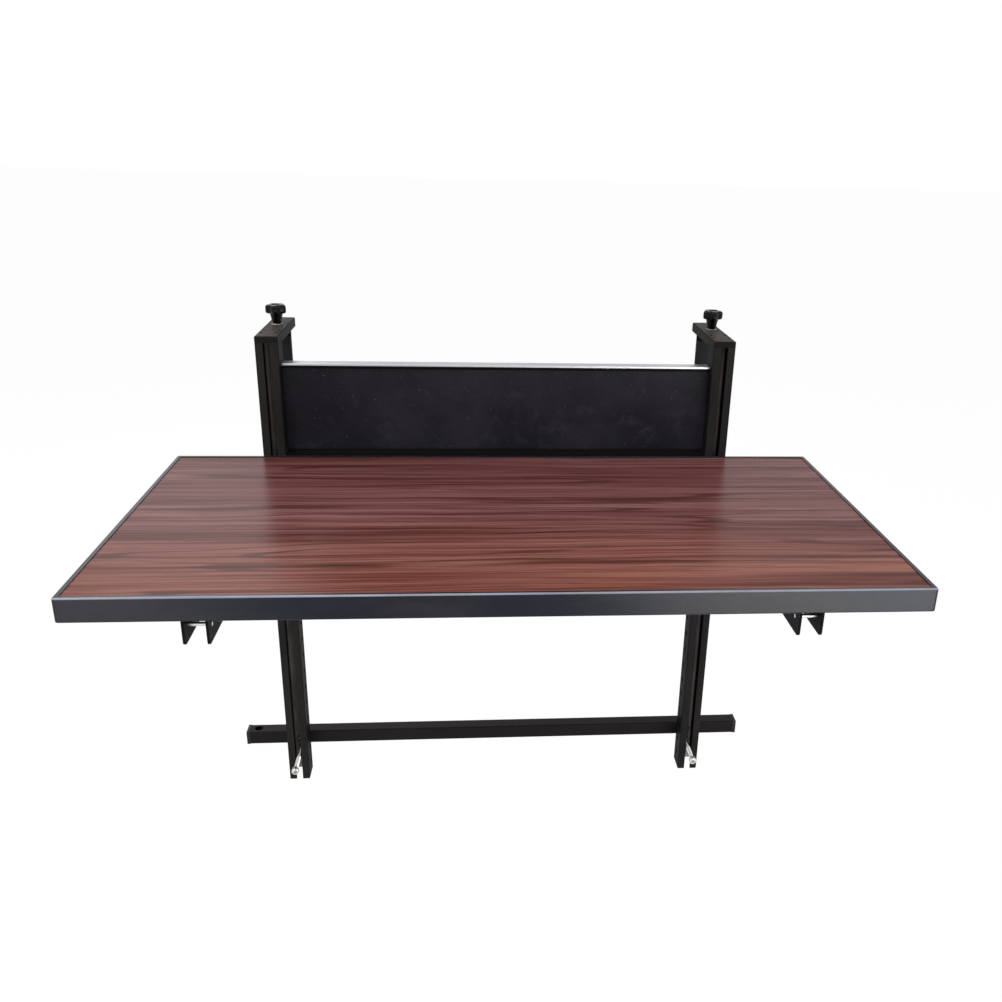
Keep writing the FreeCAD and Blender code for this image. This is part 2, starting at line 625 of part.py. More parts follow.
def arm(cx):
    half = ARM_WIDTH / 2
    front = LEAF_FRONT + ARM_SETBACK
    heel = PIVOT_Y + ARM_HEEL
    tip_round = 4.0
    channel = box(cx - half, cx + half, front, PIVOT_Y, ARM_BOTTOM, LEAF_UNDER)
    channel = channel.makeFillet(tip_round, edges_along(
        channel, ALONG_X, lambda c: c.z < ARM_BOTTOM + 1 and c.y < front + 1))
    channel = channel.fuse(box(cx - half, cx + half, PIVOT_Y, heel, PIVOT_Z, LEAF_UNDER))
    heel_round = rod_x(cx - half, cx + half, PIVOT_Y, PIVOT_Z, ARM_HEEL)
    channel = channel.fuse(heel_round.common(box(cx - half, cx + half, front, heel, ARM_BOTTOM, PIVOT_Z)))
    web_low = LEAF_UNDER - ARM_WALL
    tools = [
        box(cx - half + ARM_WALL, cx + half - ARM_WALL, front, heel, ARM_BOTTOM, web_low),
        rod_x(cx - half, cx + half, PIVOT_Y, PIVOT_Z, PIN_RADIUS + RUNNING),
        box(cx - half, cx + half, TRACK_FRONT + TRACK_HALF, PROP_TIP_Y, TRACK_Z - TRACK_HALF,
            TRACK_Z + TRACK_HALF),
        rod_x(cx - half, cx + half, TRACK_FRONT + TRACK_HALF, TRACK_Z, TRACK_HALF),
        rod_x(cx - half, cx + half, PROP_TIP_Y, TRACK_Z, TRACK_HALF),
        box(cx - half, cx + half, PROP_TIP_Y - TRACK_HALF, PROP_TIP_Y + TRACK_HALF, TRACK_Z, PROP_TIP_Z),
        rod_x(cx - half, cx + half, PROP_TIP_Y, PROP_TIP_Z, TRACK_HALF),
        rod_x(cx - half, cx + half, ARM_PIN_Y, ARM_PIN_Z, ARM_PIN_RADIUS),
    ]
    for y in ARM_SCREW_Y:
        tools.append(rod_z(cx, y, web_low, LEAF_UNDER, ARM_SCREW_RADIUS))
    for tool in tools:
        channel = channel.cut(tool)
    return solid(channel)


def arm_end_pins():
    """Cross pins, riveted over flush, that keep the arms' walls apart near the front."""
    half = ARM_WIDTH / 2 + 0.4
    pins = []
    for _, side in SIDES:
        x = side * POST_X
        pins.append(rod_x(x - half, x + half, ARM_PIN_Y, ARM_PIN_Z, ARM_PIN_RADIUS))
    return group(pins)


def arm_screws():
    """Pan-head screws up through the arms' webs into the board."""
    web_low = LEAF_UNDER - ARM_WALL
    screws = []
    for _, side in SIDES:
        for y in ARM_SCREW_Y:
            x = side * POST_X
            head = rod_z(x, y, web_low - 2.2, web_low, 4.0)
            screws.append(solid(head.fuse(rod_z(x, y, web_low, ARM_SCREW_TOP, ARM_SCREW_RADIUS))))
    return group(screws)


# Leaf: a particle board with a laminate skin and a U-shaped edging on all four sides
def leaf_box(inset, low, high):
    return box(-LEAF_LENGTH / 2 + inset, LEAF_LENGTH / 2 - inset,
               LEAF_FRONT + inset, LEAF_BACK - inset, low, high)


def table_board():
    top = LEAF_TOP - TRIM_LIP_TOP - LAMINATE_THICK
    upper = leaf_box(TRIM_WALL, LEAF_UNDER + TRIM_LIP_BOTTOM, top)
    board = upper.fuse(leaf_box(TRIM_LIP, LEAF_UNDER, LEAF_UNDER + TRIM_LIP_BOTTOM))
    board = board.removeSplitter()
    for _, side in SIDES:
        for y in ARM_SCREW_Y:
            board = board.cut(rod_z(side * POST_X, y, LEAF_UNDER, ARM_SCREW_TOP, ARM_SCREW_RADIUS))
    return solid(board)


def laminate_top():
    top = LEAF_TOP - TRIM_LIP_TOP
    return leaf_box(TRIM_WALL, top - LAMINATE_THICK, top)


def edge_ring():
    ring = leaf_box(0, LEAF_UNDER, LEAF_TOP)
    ring = ring.makeFillet(TRIM_CORNER, edges_along(ring, ALONG_Z, lambda c: True))
    rims = [e for e in ring.Edges if abs(e.CenterOfMass.z - LEAF_TOP) < 0.01
            or abs(e.CenterOfMass.z - LEAF_UNDER) < 0.01]
    ring = ring.makeFillet(TRIM_ROUND, rims)
    ring = ring.cut(leaf_box(TRIM_WALL, LEAF_UNDER + TRIM_LIP_BOTTOM, LEAF_TOP - TRIM_LIP_TOP))
    return ring.cut(leaf_box(TRIM_LIP, LEAF_UNDER, LEAF_TOP))


def edge_trims():
    """The four strips of the edging, mitred at the corners."""
    ring = edge_ring()
    half = LEAF_LENGTH / 2
    deep = LEAF_DEPTH / 2
    middle = (LEAF_FRONT + LEAF_BACK) / 2
    outlines = {
        "front": ((-half, LEAF_FRONT), (half, LEAF_FRONT), (half - deep, middle), (deep - half, middle)),
        "back": ((-half, LEAF_BACK), (half, LEAF_BACK), (half - deep, middle), (deep - half, middle)),
        "left": ((-half, LEAF_FRONT), (-half, LEAF_BACK), (deep - half, middle)),
        "right": ((half, LEAF_FRONT), (half, LEAF_BACK), (half - deep, middle)),
    }
    strips = {}
    for name, outline in outlines.items():
        points = [FreeCAD.Vector(x, y, LEAF_UNDER) for x, y in outline]
        points.append(points[0])
        wedge = Part.Face(Part.makePolygon(points)).extrude(FreeCAD.Vector(0, 0, LEAF_THICK))
        strips["edge_trim_" + name] = solid(ring.common(wedge))
    return strips


def build_nodes():
    nodes = {}
    for name, side in SIDES:
        cx = side * POST_X
        nodes["upright_" + name] = post(cx, side)
        nodes["upright_pad_" + name] = post_pad(cx)
        nodes["hook_arm_" + name] = hook_arm(cx)
        nodes["hook_pad_" + name] = hook_pad(cx)
        nodes["rear_jaw_" + name] = rear_jaw(cx)
        nodes["jaw_pad_" + name] = jaw_pad(cx)
        nodes["clamp_knob_" + name] = clamp_knob(cx)
        nodes["clamp_stud_" + name] = clamp_stud(cx)
        nodes["clamp_nut_" + name] = clamp_nut(cx)
        nodes["crossbar_end_cap_" + name] = crossbar_end_cap(side)
        nodes["levelling_nut_" + name] = levelling_nut(cx)
        nodes["levelling_screw_" + name] = levelling_screw(cx)
        nodes["levelling_foot_" + name] = levelling_foot(cx)
        nodes["foot_sole_" + name] = foot_sole(cx)
        nodes["slide_bracket_" + name] = slide_bracket(cx)
        nodes["slide_nut_" + name] = slide_nut(cx)
        nodes["hinge_pin_" + name] = hinge_pin(cx)
        nodes["prop_" + name] = prop(cx)
        nodes["prop_tip_pin_" + name] = prop_tip_pin(cx)
        nodes["arm_" + name] = arm(cx)
    nodes["stop_rivets"] = stop_rivets()
    nodes["clamp_washers"] = clamp_washers()
    nodes["crossbar"] = crossbar()
    nodes["crossbar_bolts"] = crossbar_bolts()
    nodes["crossbar_nuts"] = crossbar_nuts()
    nodes["back_panel"] = back_panel()
    nodes["panel_top_trim"] = panel_top_trim()
    nodes["panel_screws"] = panel_screws()
    nodes["slide_bolts"] = slide_bolts()
    nodes["prop_pivot_pins"] = prop_pivot_pins()
    nodes["arm_end_pins"] = arm_end_pins()
    nodes["arm_screws"] = arm_screws()
    nodes["table_board"] = table_board()
    nodes["laminate_top"] = laminate_top()
    nodes.update(edge_trims())
    return nodes


os.makedirs("parts", exist_ok=True)
for node_name, shape in build_nodes().items():
    if not shape.isValid():
        print("invalid shape:", node_name)
    shape.exportStep("parts/%s.step" % node_name)
    print(node_name, len(shape.Solids), "solids", round(shape.Volume / 1000, 2), "cm3")
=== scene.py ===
import json
import math
import bmesh
import bpy
from mathutils import Matrix, Vector

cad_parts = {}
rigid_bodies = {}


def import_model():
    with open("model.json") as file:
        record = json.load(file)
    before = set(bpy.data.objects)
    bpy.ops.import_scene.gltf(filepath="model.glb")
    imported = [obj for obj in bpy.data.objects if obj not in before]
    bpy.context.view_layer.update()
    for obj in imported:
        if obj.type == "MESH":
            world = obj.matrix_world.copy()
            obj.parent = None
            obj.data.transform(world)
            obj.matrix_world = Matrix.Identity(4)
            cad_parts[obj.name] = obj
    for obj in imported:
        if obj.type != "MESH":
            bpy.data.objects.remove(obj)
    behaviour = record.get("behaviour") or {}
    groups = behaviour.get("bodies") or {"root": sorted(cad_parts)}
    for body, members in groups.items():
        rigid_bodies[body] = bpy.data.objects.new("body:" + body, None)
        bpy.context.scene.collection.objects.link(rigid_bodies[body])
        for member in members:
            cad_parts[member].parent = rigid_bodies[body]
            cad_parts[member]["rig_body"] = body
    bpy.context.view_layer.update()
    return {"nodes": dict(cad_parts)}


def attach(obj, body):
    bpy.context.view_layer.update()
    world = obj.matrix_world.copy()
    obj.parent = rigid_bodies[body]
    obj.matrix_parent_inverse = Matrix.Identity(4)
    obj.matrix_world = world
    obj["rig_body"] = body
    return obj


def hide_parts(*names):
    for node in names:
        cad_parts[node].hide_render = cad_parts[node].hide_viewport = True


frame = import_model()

nodes = frame["nodes"]
bpy.ops.object.select_all(action="DESELECT")


# Posts. Roll-formed steel channels, open down the front, with a row of holes in both walls.
# They are powder-coated satin black. The web inside the open slot is painted pale, partly dust and
# partly painted light that stands in for light reaching into the slot, with a painted highlight
# streak down it. The front faces carry a paler film, partly dust and partly painted sheen.
SIDES = (("left", -1), ("right", 1))
POST_X = 0.283
POST_FRONT = -0.032
WEB_FRONT = -0.004
FILM_DEPTH = 0.0014
DUST_AND_LIGHT_HALF = 0.0084
HIGHLIGHT_OFF_CENTRE = 0.0058
COAT_EDGE = 0.0003
SAME_PLACE = 0.00001
FLAT_ANGLE = math.radians(0.6)
FOLD_ANGLE = math.radians(40)
SMOOTH_ANGLE = math.radians(45)
SPECK = (0.07, 0.068, 0.07)


class Field:
    """A number or colour that varies over a surface, with Python's operators for its maths."""

    def __init__(self, finish, socket):
        self.finish = finish
        self.socket = socket

    def math(self, operation, first, second=0.0):
        return self.finish.node("ShaderNodeMath", {"operation": operation}, {0: first, 1: second})

    def __add__(self, other):
        return self.math("ADD", self, other)

    def __sub__(self, other):
        return self.math("SUBTRACT", self, other)

    def __rsub__(self, other):
        return self.math("SUBTRACT", other, self)

    def __mul__(self, other):
        return self.math("MULTIPLY", self, other)

    def __abs__(self):
        return self.math("ABSOLUTE", self)

    __radd__ = __add__
    __rmul__ = __mul__


class Finish:
    """A material with one Principled shader, whose constants are set on its own sockets."""

    def __init__(self, name, **constants):
        self.material = bpy.data.materials.new(name)
        self.material.use_nodes = True
        self.tree = self.material.node_tree
        self.shader = self.tree.nodes["Principled BSDF"]
        for socket, value in constants.items():
            self.shader.inputs[socket.replace("_", " ")].default_value = value

    def node(self, kind, settings=None, sockets=None, output=0):
        """A node of this kind: its settings are made first, then its sockets are filled."""
        made = self.tree.nodes.new(kind)
        for name, value in (settings or {}).items():
            if name == "stops":
                stops = made.color_ramp.elements
                while len(stops) < len(value):
                    stops.new(0.5)
                for stop, (place, colour) in zip(stops, value):
                    stop.position = place
                    stop.color = (*colour, 1.0)
            else:
                setattr(made, name, value)
        for name, value in (sockets or {}).items():
            self.join(made.inputs[name], value)
        return Field(self, made.outputs[output])

    def join(self, socket, value):
        if isinstance(value, Field):
            self.tree.links.new(value.socket, socket)
        else:
            socket.default_value = value

    def place(self, stretch=(1, 1, 1), shift=(0, 0, 0)):
        """Object coordinates in metres, stretched and shifted."""
        spot = self.node("ShaderNodeTexCoord", output="Object")
        return self.node("ShaderNodeMapping", {}, {"Vector": spot, "Scale": stretch,
                                                   "Location": shift})

    def axis(self, letter):
        """One object coordinate, in metres."""
        return self.node("ShaderNodeSeparateXYZ", {}, {0: self.place()}, letter)

    def noise(self, scale, detail=3.0, roughness=0.5, stretch=(1, 1, 1), shift=(0, 0, 0)):
        return self.node("ShaderNodeTexNoise", {}, {
            "Vector": self.place(stretch, shift), "Scale": scale, "Detail": detail,
            "Roughness": roughness})

    def ramp(self, amount, stops):
        return self.node("ShaderNodeValToRGB", {"stops": stops}, {"Fac": amount})

    def steps(self, amount, low, high):
        """0 below low and 1 above high, smooth between them."""
        return self.node("ShaderNodeMapRange", {"interpolation_type": "SMOOTHSTEP"}, {
            "Value": amount, "From Min": low, "From Max": high})

    def blend(self, amount, first, second):
        """A colour between two colours."""
        mix = self.tree.nodes.new("ShaderNodeMix")
        mix.data_type = "RGBA"
        self.join(mix.inputs["Factor"], amount)
        self.join(mix.inputs[6], first if isinstance(first, Field) else (*first, 1.0))
        self.join(mix.inputs[7], second if isinstance(second, Field) else (*second, 1.0))
        return Field(self, mix.outputs[2])

    def done(self, colour, rough, relief, depth, strength):
        """Links what varies over the surface, and gives the material."""
        self.join(self.shader.inputs["Base Color"], colour)
        self.join(self.shader.inputs["Roughness"], rough)
        bump = self.node("ShaderNodeBump", {}, {"Height": relief, "Distance": depth,
                                                "Strength": strength})
        self.join(self.shader.inputs["Normal"], bump)
        return self.material


def powder_coat(name, colour, gloss, sheen, dust_and_light_at=None, dust_and_light=None):
    """Baked powder: a fine orange peel, faint clouds, specks, and dust with painted light where asked.
    """
    coat = Finish(name, Specular_IOR_Level=sheen)
    peel = coat.noise(1300, detail=2.0)
    cloud = coat.noise(11, detail=4.0)
    speck = coat.steps(coat.noise(380, detail=3.0, shift=(0.3, 0.1, 0.7)), 0.66, 0.78)
    shade = coat.blend(cloud, [c * 0.75 for c in colour], [c * 1.5 for c in colour])
    shade = coat.blend(speck * 0.3, shade, SPECK)
    if dust_and_light_at is not None:
        shade = coat.blend(dust_and_light_at(coat), shade, dust_and_light)
    rough = gloss + cloud * 0.16 + speck * 0.15
    return coat.done(shade, rough, peel, depth=0.00006, strength=0.35)


def on_front(coat):
    """1 on the front faces of the posts and hooks, and 0 behind them."""
    return 1.0 - coat.steps(coat.axis("Y"), POST_FRONT + 0.0004, POST_FRONT + FILM_DEPTH)


def slot_dust_and_light(coat):
    """Pale dust and painted light on the web inside a post, a painted highlight streak, and a paler
    film on the post's front.
    """
    off_centre = abs(abs(coat.axis("X")) - POST_X)
    depth = coat.axis("Y")
    ahead_of_web = coat.steps(depth, WEB_FRONT - 0.0035, WEB_FRONT - 0.0005)
    on_web = ahead_of_web - coat.steps(depth, WEB_FRONT + 0.0004, WEB_FRONT + 0.0010)
    inside = 1.0 - coat.steps(off_centre, DUST_AND_LIGHT_HALF - 0.0010, DUST_AND_LIGHT_HALF)
    patchy = coat.noise(60, detail=4.0, stretch=(1, 1, 0.25)) * 0.9
    # Painted highlight: a pale streak down the web, standing in for where light catches it.
    highlight_streak = 1.0 - coat.steps(abs(off_centre - HIGHLIGHT_OFF_CENTRE), 0.0006, 0.0022)
    highlight_streak = highlight_streak * coat.steps(coat.noise(9, detail=3.0, stretch=(0.2, 0.2, 1)), 0.36, 0.56)
    coat.join(coat.shader.inputs["Coat Weight"], on_web * inside)
    # The front faces are painted paler: partly a dust film, partly painted sheen.
    front_film_and_sheen = on_front(coat) * (patchy * 0.045 + 0.012)
    # The web's pale colour is partly dust and partly painted light for the light reaching into the
    # slot.
    return on_web * inside * (patchy * 1.1 + highlight_streak * 0.5) + front_film_and_sheen


def start_alone(piece):
    """Leaves only this piece selected and active."""
    bpy.ops.object.select_all(action="DESELECT")
    piece.select_set(True)
    bpy.context.view_layer.objects.active = piece


def stand_in(piece, finish, node):
    """Names and dresses a piece, has it ride as the node it replaces does, and hides that node."""
    piece.name = node + "_finished"
    piece.data.materials.clear()
    piece.data.materials.append(finish)
    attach(piece, nodes[node]["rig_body"])
    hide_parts(node)
    piece.select_set(False)


def ease_edges(piece, width, angle, clamp=True):
    """Bevels the edges that are sharper than an angle."""
    bevel = piece.modifiers.new("edge", "BEVEL")
    bevel.width = width
    bevel.segments = 2
    bevel.limit_method = "ANGLE"
    bevel.angle_limit = angle
    bevel.use_clamp_overlap = clamp
    bpy.ops.object.modifier_apply(modifier="edge")


def eased(node, finish, edge=COAT_EDGE):
    """A pressed or cut part with its sharp edges eased: the node's mesh, merged and bevelled."""
    piece = bpy.data.objects.new(node, nodes[node].data.copy())
    bpy.context.scene.collection.objects.link(piece)
    start_alone(piece)
    bpy.ops.object.mode_set(mode="EDIT")
    bpy.ops.mesh.select_all(action="SELECT")
    bpy.ops.mesh.remove_doubles(threshold=SAME_PLACE)
    bpy.ops.mesh.dissolve_limited(angle_limit=FLAT_ANGLE)
    bpy.ops.object.mode_set(mode="OBJECT")
    ease_edges(piece, edge, FOLD_ANGLE, clamp=False)
    bpy.ops.object.mode_set(mode="EDIT")
    bpy.ops.mesh.select_mode(type="FACE")
    bpy.ops.mesh.select_all(action="DESELECT")
    bpy.ops.mesh.select_face_by_sides(number=4, type="GREATER")
    bpy.ops.mesh.quads_convert_to_tris(ngon_method="BEAUTY")
    bpy.ops.mesh.select_mode(type="VERT")
    bpy.ops.object.mode_set(mode="OBJECT")
    bpy.ops.object.shade_smooth_by_angle(angle=SMOOTH_ANGLE)
    flat = piece.modifiers.new("flat", "WEIGHTED_NORMAL")
    flat.keep_sharp = True
    bpy.ops.object.modifier_apply(modifier="flat")
    stand_in(piece, finish, node)


# The pale web colour is partly dust and partly painted light, brightened for the light that reaches
# into the slot.
frame_coat = powder_coat("frame_powder_coat", (0.0098, 0.0090, 0.0092), gloss=0.42, sheen=0.012,
                         dust_and_light_at=slot_dust_and_light, dust_and_light=(0.62, 0.56, 0.54))
for name, side in SIDES:
    eased("upright_" + name, frame_coat)


# Stop rivets. Small dome-head steel rivets in the inner lips of the slots, which keep the
# brackets from sliding out at the bottom. They are coated black with the posts.
RIVET_HEAD = 0.0032
RIVET_RISE = 0.0016
RIVET_SHANK = 0.0016
RIVET_REACH = 0.003
RIVET_RIM = 0.0002
RIVET_Z = -0.561
RIVET_OFF_CENTRE = 0.009125
SAME_POINT = 0.000001
ROUND_ANGLE = math.radians(35)
DOME_STEPS = 7


def turned(profile, steps=48):
    """A turned piece about Z: a point is drawn along the profile of radius and height, and spun."""
    bpy.ops.mesh.primitive_plane_add(size=0.001)
    piece = bpy.context.object
    bpy.ops.object.mode_set(mode="EDIT")
    bpy.ops.mesh.merge(type="CENTER")
    here = Vector((profile[0][0], 0, profile[0][1]))
    bpy.ops.transform.translate(value=here)
    for radius, height in profile[1:]:
        there = Vector((radius, 0, height))
        bpy.ops.mesh.extrude_vertices_move(TRANSFORM_OT_translate={"value": there - here})
        here = there
    bpy.ops.mesh.select_all(action="SELECT")
    bpy.ops.mesh.spin(steps=steps, angle=math.tau, center=(0, 0, 0), axis=(0, 0, 1))
    bpy.ops.mesh.select_all(action="SELECT")
    bpy.ops.mesh.remove_doubles(threshold=SAME_POINT)
    bpy.ops.mesh.normals_make_consistent(inside=False)
    bpy.ops.object.mode_set(mode="OBJECT")
    return piece


def dome(radius, rise):
    """The profile of a round head that stands on Z = 0, from its rim to its middle."""
    ball = (radius ** 2 + rise ** 2) / (2 * rise)
    spread = math.asin(min(radius / ball, 1.0))
    profile = []
    for point in range(DOME_STEPS + 1):
        angle = spread * (1 - point / DOME_STEPS)
        profile.append((ball * math.sin(angle), rise - ball + ball * math.cos(angle)))
    return profile


def dome_down(radius, rise, rim):
    """The same head hanging down from a rim at this height, from its middle to its rim."""
    return [(r, rim - h) for r, h in reversed(dome(radius, rise))]


def set_down(piece, place, up=(0, 0, 1), right=(1, 0, 0)):
    """Turns a piece so that its Z points up and its X right, moves it to its place, applies both."""
    up, right = Vector(up), Vector(right)
    turn = Matrix((right, up.cross(right), up)).transposed().to_4x4()
    start_alone(piece)
    piece.matrix_world = Matrix.Translation(place) @ turn
    bpy.ops.object.transform_apply(location=True, rotation=True, scale=True)
    bpy.ops.object.shade_smooth_by_angle(angle=ROUND_ANGLE)
    return piece


def joined(pieces):
    """Several pieces as one object."""
    start_alone(pieces[0])
    for piece in pieces[1:]:
        piece.select_set(True)
    bpy.ops.object.join()
    return pieces[0]


rivet_profile = dome_down(RIVET_HEAD, RIVET_RISE, -RIVET_RIM)
rivet_profile += [(RIVET_HEAD, 0), (RIVET_SHANK, 0), (RIVET_SHANK, RIVET_REACH), (0, RIVET_REACH)]
rivets = []
for name, side in SIDES:
    x = side * (POST_X - RIVET_OFF_CENTRE)
    rivets.append(set_down(turned(rivet_profile, 32), (x, POST_FRONT, RIVET_Z), up=(0, 1, 0)))
stand_in(joined(rivets), frame_coat, "stop_rivets")


# Hook arms. Folded steel trays, welded on the posts' top ends and coated with them. What faces up
# is painted pale, partly dust and partly a painted reflection of the sky, and the front a little
# paler, partly a dust film and partly painted sheen.
def painted_top_light(coat):
    """1 on faces that look up, patchily, and a little on the front: where pale colour is painted for
    dust and for light from above.
    """
    facing = coat.node("ShaderNodeNewGeometry", output="True Normal")
    lift = coat.node("ShaderNodeSeparateXYZ", {}, {0: facing}, "Z")
    patchy = coat.noise(90, detail=4.0, roughness=0.6) * 0.8 + 0.35
    return coat.steps(lift, 0.75, 0.97) * patchy + on_front(coat) * 0.16


# Upward faces are painted paler, partly dust and partly a painted reflection of the sky.
hook_coat = powder_coat("hook_powder_coat", (0.0070, 0.0067, 0.0070), gloss=0.42, sheen=0.02,
                        dust_and_light_at=painted_top_light, dust_and_light=(0.085, 0.074, 0.066))
for name, side in SIDES:
    eased("hook_arm_" + name, hook_coat)


# Pads. Moulded black rubber, glued on the posts' backs, under the hooks and on the rear jaws.
# The face that bears is ribbed.
PADS = {
    "upright_pad_": {"along": 0.056, "across": 0.022, "thick": 0.002, "ribs": 12, "groove": 0.0006,
                     "y": -0.002, "z": -0.034, "up": (0, 1, 0), "right": (0, 0, 1)},
    "hook_pad_": {"along": 0.020, "across": 0.024, "thick": 0.0062, "ribs": 5, "groove": 0.0010,
                  "y": 0.022, "z": 0.0062, "up": (0, 0, -1), "right": (0, 1, 0)},
    "jaw_pad_": {"along": 0.036, "across": 0.020, "thick": 0.003, "ribs": 9, "groove": 0.0009,
                 "y": 0.083, "z": -0.028, "up": (0, -1, 0), "right": (0, 0, 1)},
}
PAD_EDGE = 0.0008 / 3
PAD_ANGLE = math.radians(30)


def moulded(name, colour, gloss, sheen, grain_size, grain_depth, lit_top=None):
    """Black plastic or rubber: a fine grain, a bloom, and, if asked, a painted highlight on its top.
    """
    part = Finish(name, Specular_IOR_Level=sheen)
    grain = part.noise(grain_size, detail=2.0)
    bloom = part.noise(70, detail=4.0)
    shade = part.blend(bloom, [c * 0.7 for c in colour], [c * 1.7 for c in colour])
    # Painted highlight: faces that look up are painted paler than the sides.
    if lit_top is not None:
        shade = part.blend(painted_top_light(part), shade, lit_top)
    return part.done(shade, bloom * 0.16 + gloss, grain, depth=grain_depth, strength=0.4)


def ribbed_pad(along, across, thick, ribs, groove):
    """A pad on Z = 0 with its ribs on top, running across it."""
    strips = 2 * ribs - 1
    bpy.ops.mesh.primitive_grid_add(x_subdivisions=strips, y_subdivisions=1, size=1)
    pad = bpy.context.object
    bpy.ops.object.mode_set(mode="EDIT")
    bpy.ops.transform.resize(value=(along, across, 1))
    bpy.ops.mesh.extrude_region_move(TRANSFORM_OT_translate={"value": (0, 0, thick)})
    mesh = bmesh.from_edit_mesh(pad.data)
    bpy.ops.mesh.select_all(action="DESELECT")
    for face in mesh.faces:
        middle = face.calc_center_median()
        strip = int((middle.x / along + 0.5) * strips)
        face.select = middle.z > thick * 0.99 and strip % 2 == 1
    mesh.select_flush(True)
    bmesh.update_edit_mesh(pad.data)
    bpy.ops.mesh.extrude_region_move(TRANSFORM_OT_translate={"value": (0, 0, -groove)})
    bpy.ops.mesh.select_all(action="SELECT")
    bpy.ops.mesh.normals_make_consistent(inside=False)
    bpy.ops.object.mode_set(mode="OBJECT")
    ease_edges(pad, PAD_EDGE, PAD_ANGLE)
    return pad


pad_rubber = moulded("pad_rubber", (0.012, 0.012, 0.012), gloss=0.62, sheen=0.25,
                     grain_size=900, grain_depth=0.00012)
for name, side in SIDES:
    for node, made in PADS.items():
        pad = ribbed_pad(made["along"], made["across"], made["thick"], made["ribs"], made["groove"])
        set_down(pad, (side * POST_X, made["y"], made["z"]), up=made["up"], right=made["right"])
        stand_in(pad, pad_rubber, node + name)


# Rear jaws. Bent steel straps in the posts' black coat. Each has a slotted tongue, which slides
# under its hook's plate and is clamped there.
for name, side in SIDES:
    eased("rear_jaw_" + name, frame_coat)


# Clamps. A soft-lobed star knob is moulded on a zinc-plated stud, which runs through a washer
# and the hook's plate into a plate nut.
HOOK_TOP = 0.012
STUD_Y = 0.047
STUD_RADIUS = 0.003
STUD_PITCH = 0.001
STUD_LOW = 0.0008
WASHER_BORE = 0.0033
WASHER_RADIUS = 0.0070
WASHER_THICK = 0.0014
BORE = 0.00305
KNOB_HUB_LOW = 0.0136
KNOB_HEAD_LOW = 0.0266
KNOB_TOP = 0.0374
KNOB_BORE_DEEP = 0.009
KNOB_LOBES = 5
KNOB_POINTS = 80
KNOB_RADIUS = 0.0119
KNOB_SWELL = 0.12
SAME_HEIGHT = 0.000002
THREAD_DEEP = 0.61
THREAD_SUNK = 0.10
THREAD_HALF = 0.45
THREAD_STEPS = 24


def zinc(name, low, high, gloss):
    """Zinc plate: cloudy passivation and fine scratches."""
    plate = Finish(name, Metallic=1.0)
    bloom = plate.noise(190, detail=4.0, roughness=0.6)
    scratch = plate.noise(1400, detail=2.0, stretch=(1, 0.15, 1))
    shade = plate.blend(bloom, low, high)
    return plate.done(shade, bloom * 0.2 + gloss, scratch, depth=0.00004, strength=0.3)


def ring_at(piece, height):
    """Leaves nothing selected, and gives the mesh and its ring of points at one height."""
    mesh = bmesh.from_edit_mesh(piece.data)
    bpy.ops.mesh.select_all(action="DESELECT")
    ring = [point for point in mesh.verts if abs(point.co.z - height) < SAME_HEIGHT]
    return mesh, ring


def pull_ring(piece, height, radius_at):
    """Gives the ring at one height a new radius at each angle, one group of like points at a time."""
    mesh, ring = ring_at(piece, height)
    groups = {}
    for point in ring:
        angle = math.atan2(point.co.y, point.co.x)
        wanted = radius_at(angle) / math.hypot(point.co.x, point.co.y)
        groups.setdefault(round(wanted, 4), []).append(point.index)
    for factor, members in groups.items():
        mesh = bmesh.from_edit_mesh(piece.data)
        mesh.verts.ensure_lookup_table()
        bpy.ops.mesh.select_all(action="DESELECT")
        for index in members:
            mesh.verts[index].select = True
        mesh.select_flush(True)
        bpy.ops.transform.resize(value=(factor, factor, 1), center_override=(0, 0, 0))
    mesh, ring = ring_at(piece, height)
    for point in ring:
        point.select = True
    mesh.select_flush(True)
    bmesh.update_edit_mesh(piece.data)


def lobed(radius, swell):
    """A star's outline, with one lobe towards the front."""
    def at(angle):
        return radius * (1 + swell * math.cos(KNOB_LOBES * (angle + math.pi / 2)))
    return at


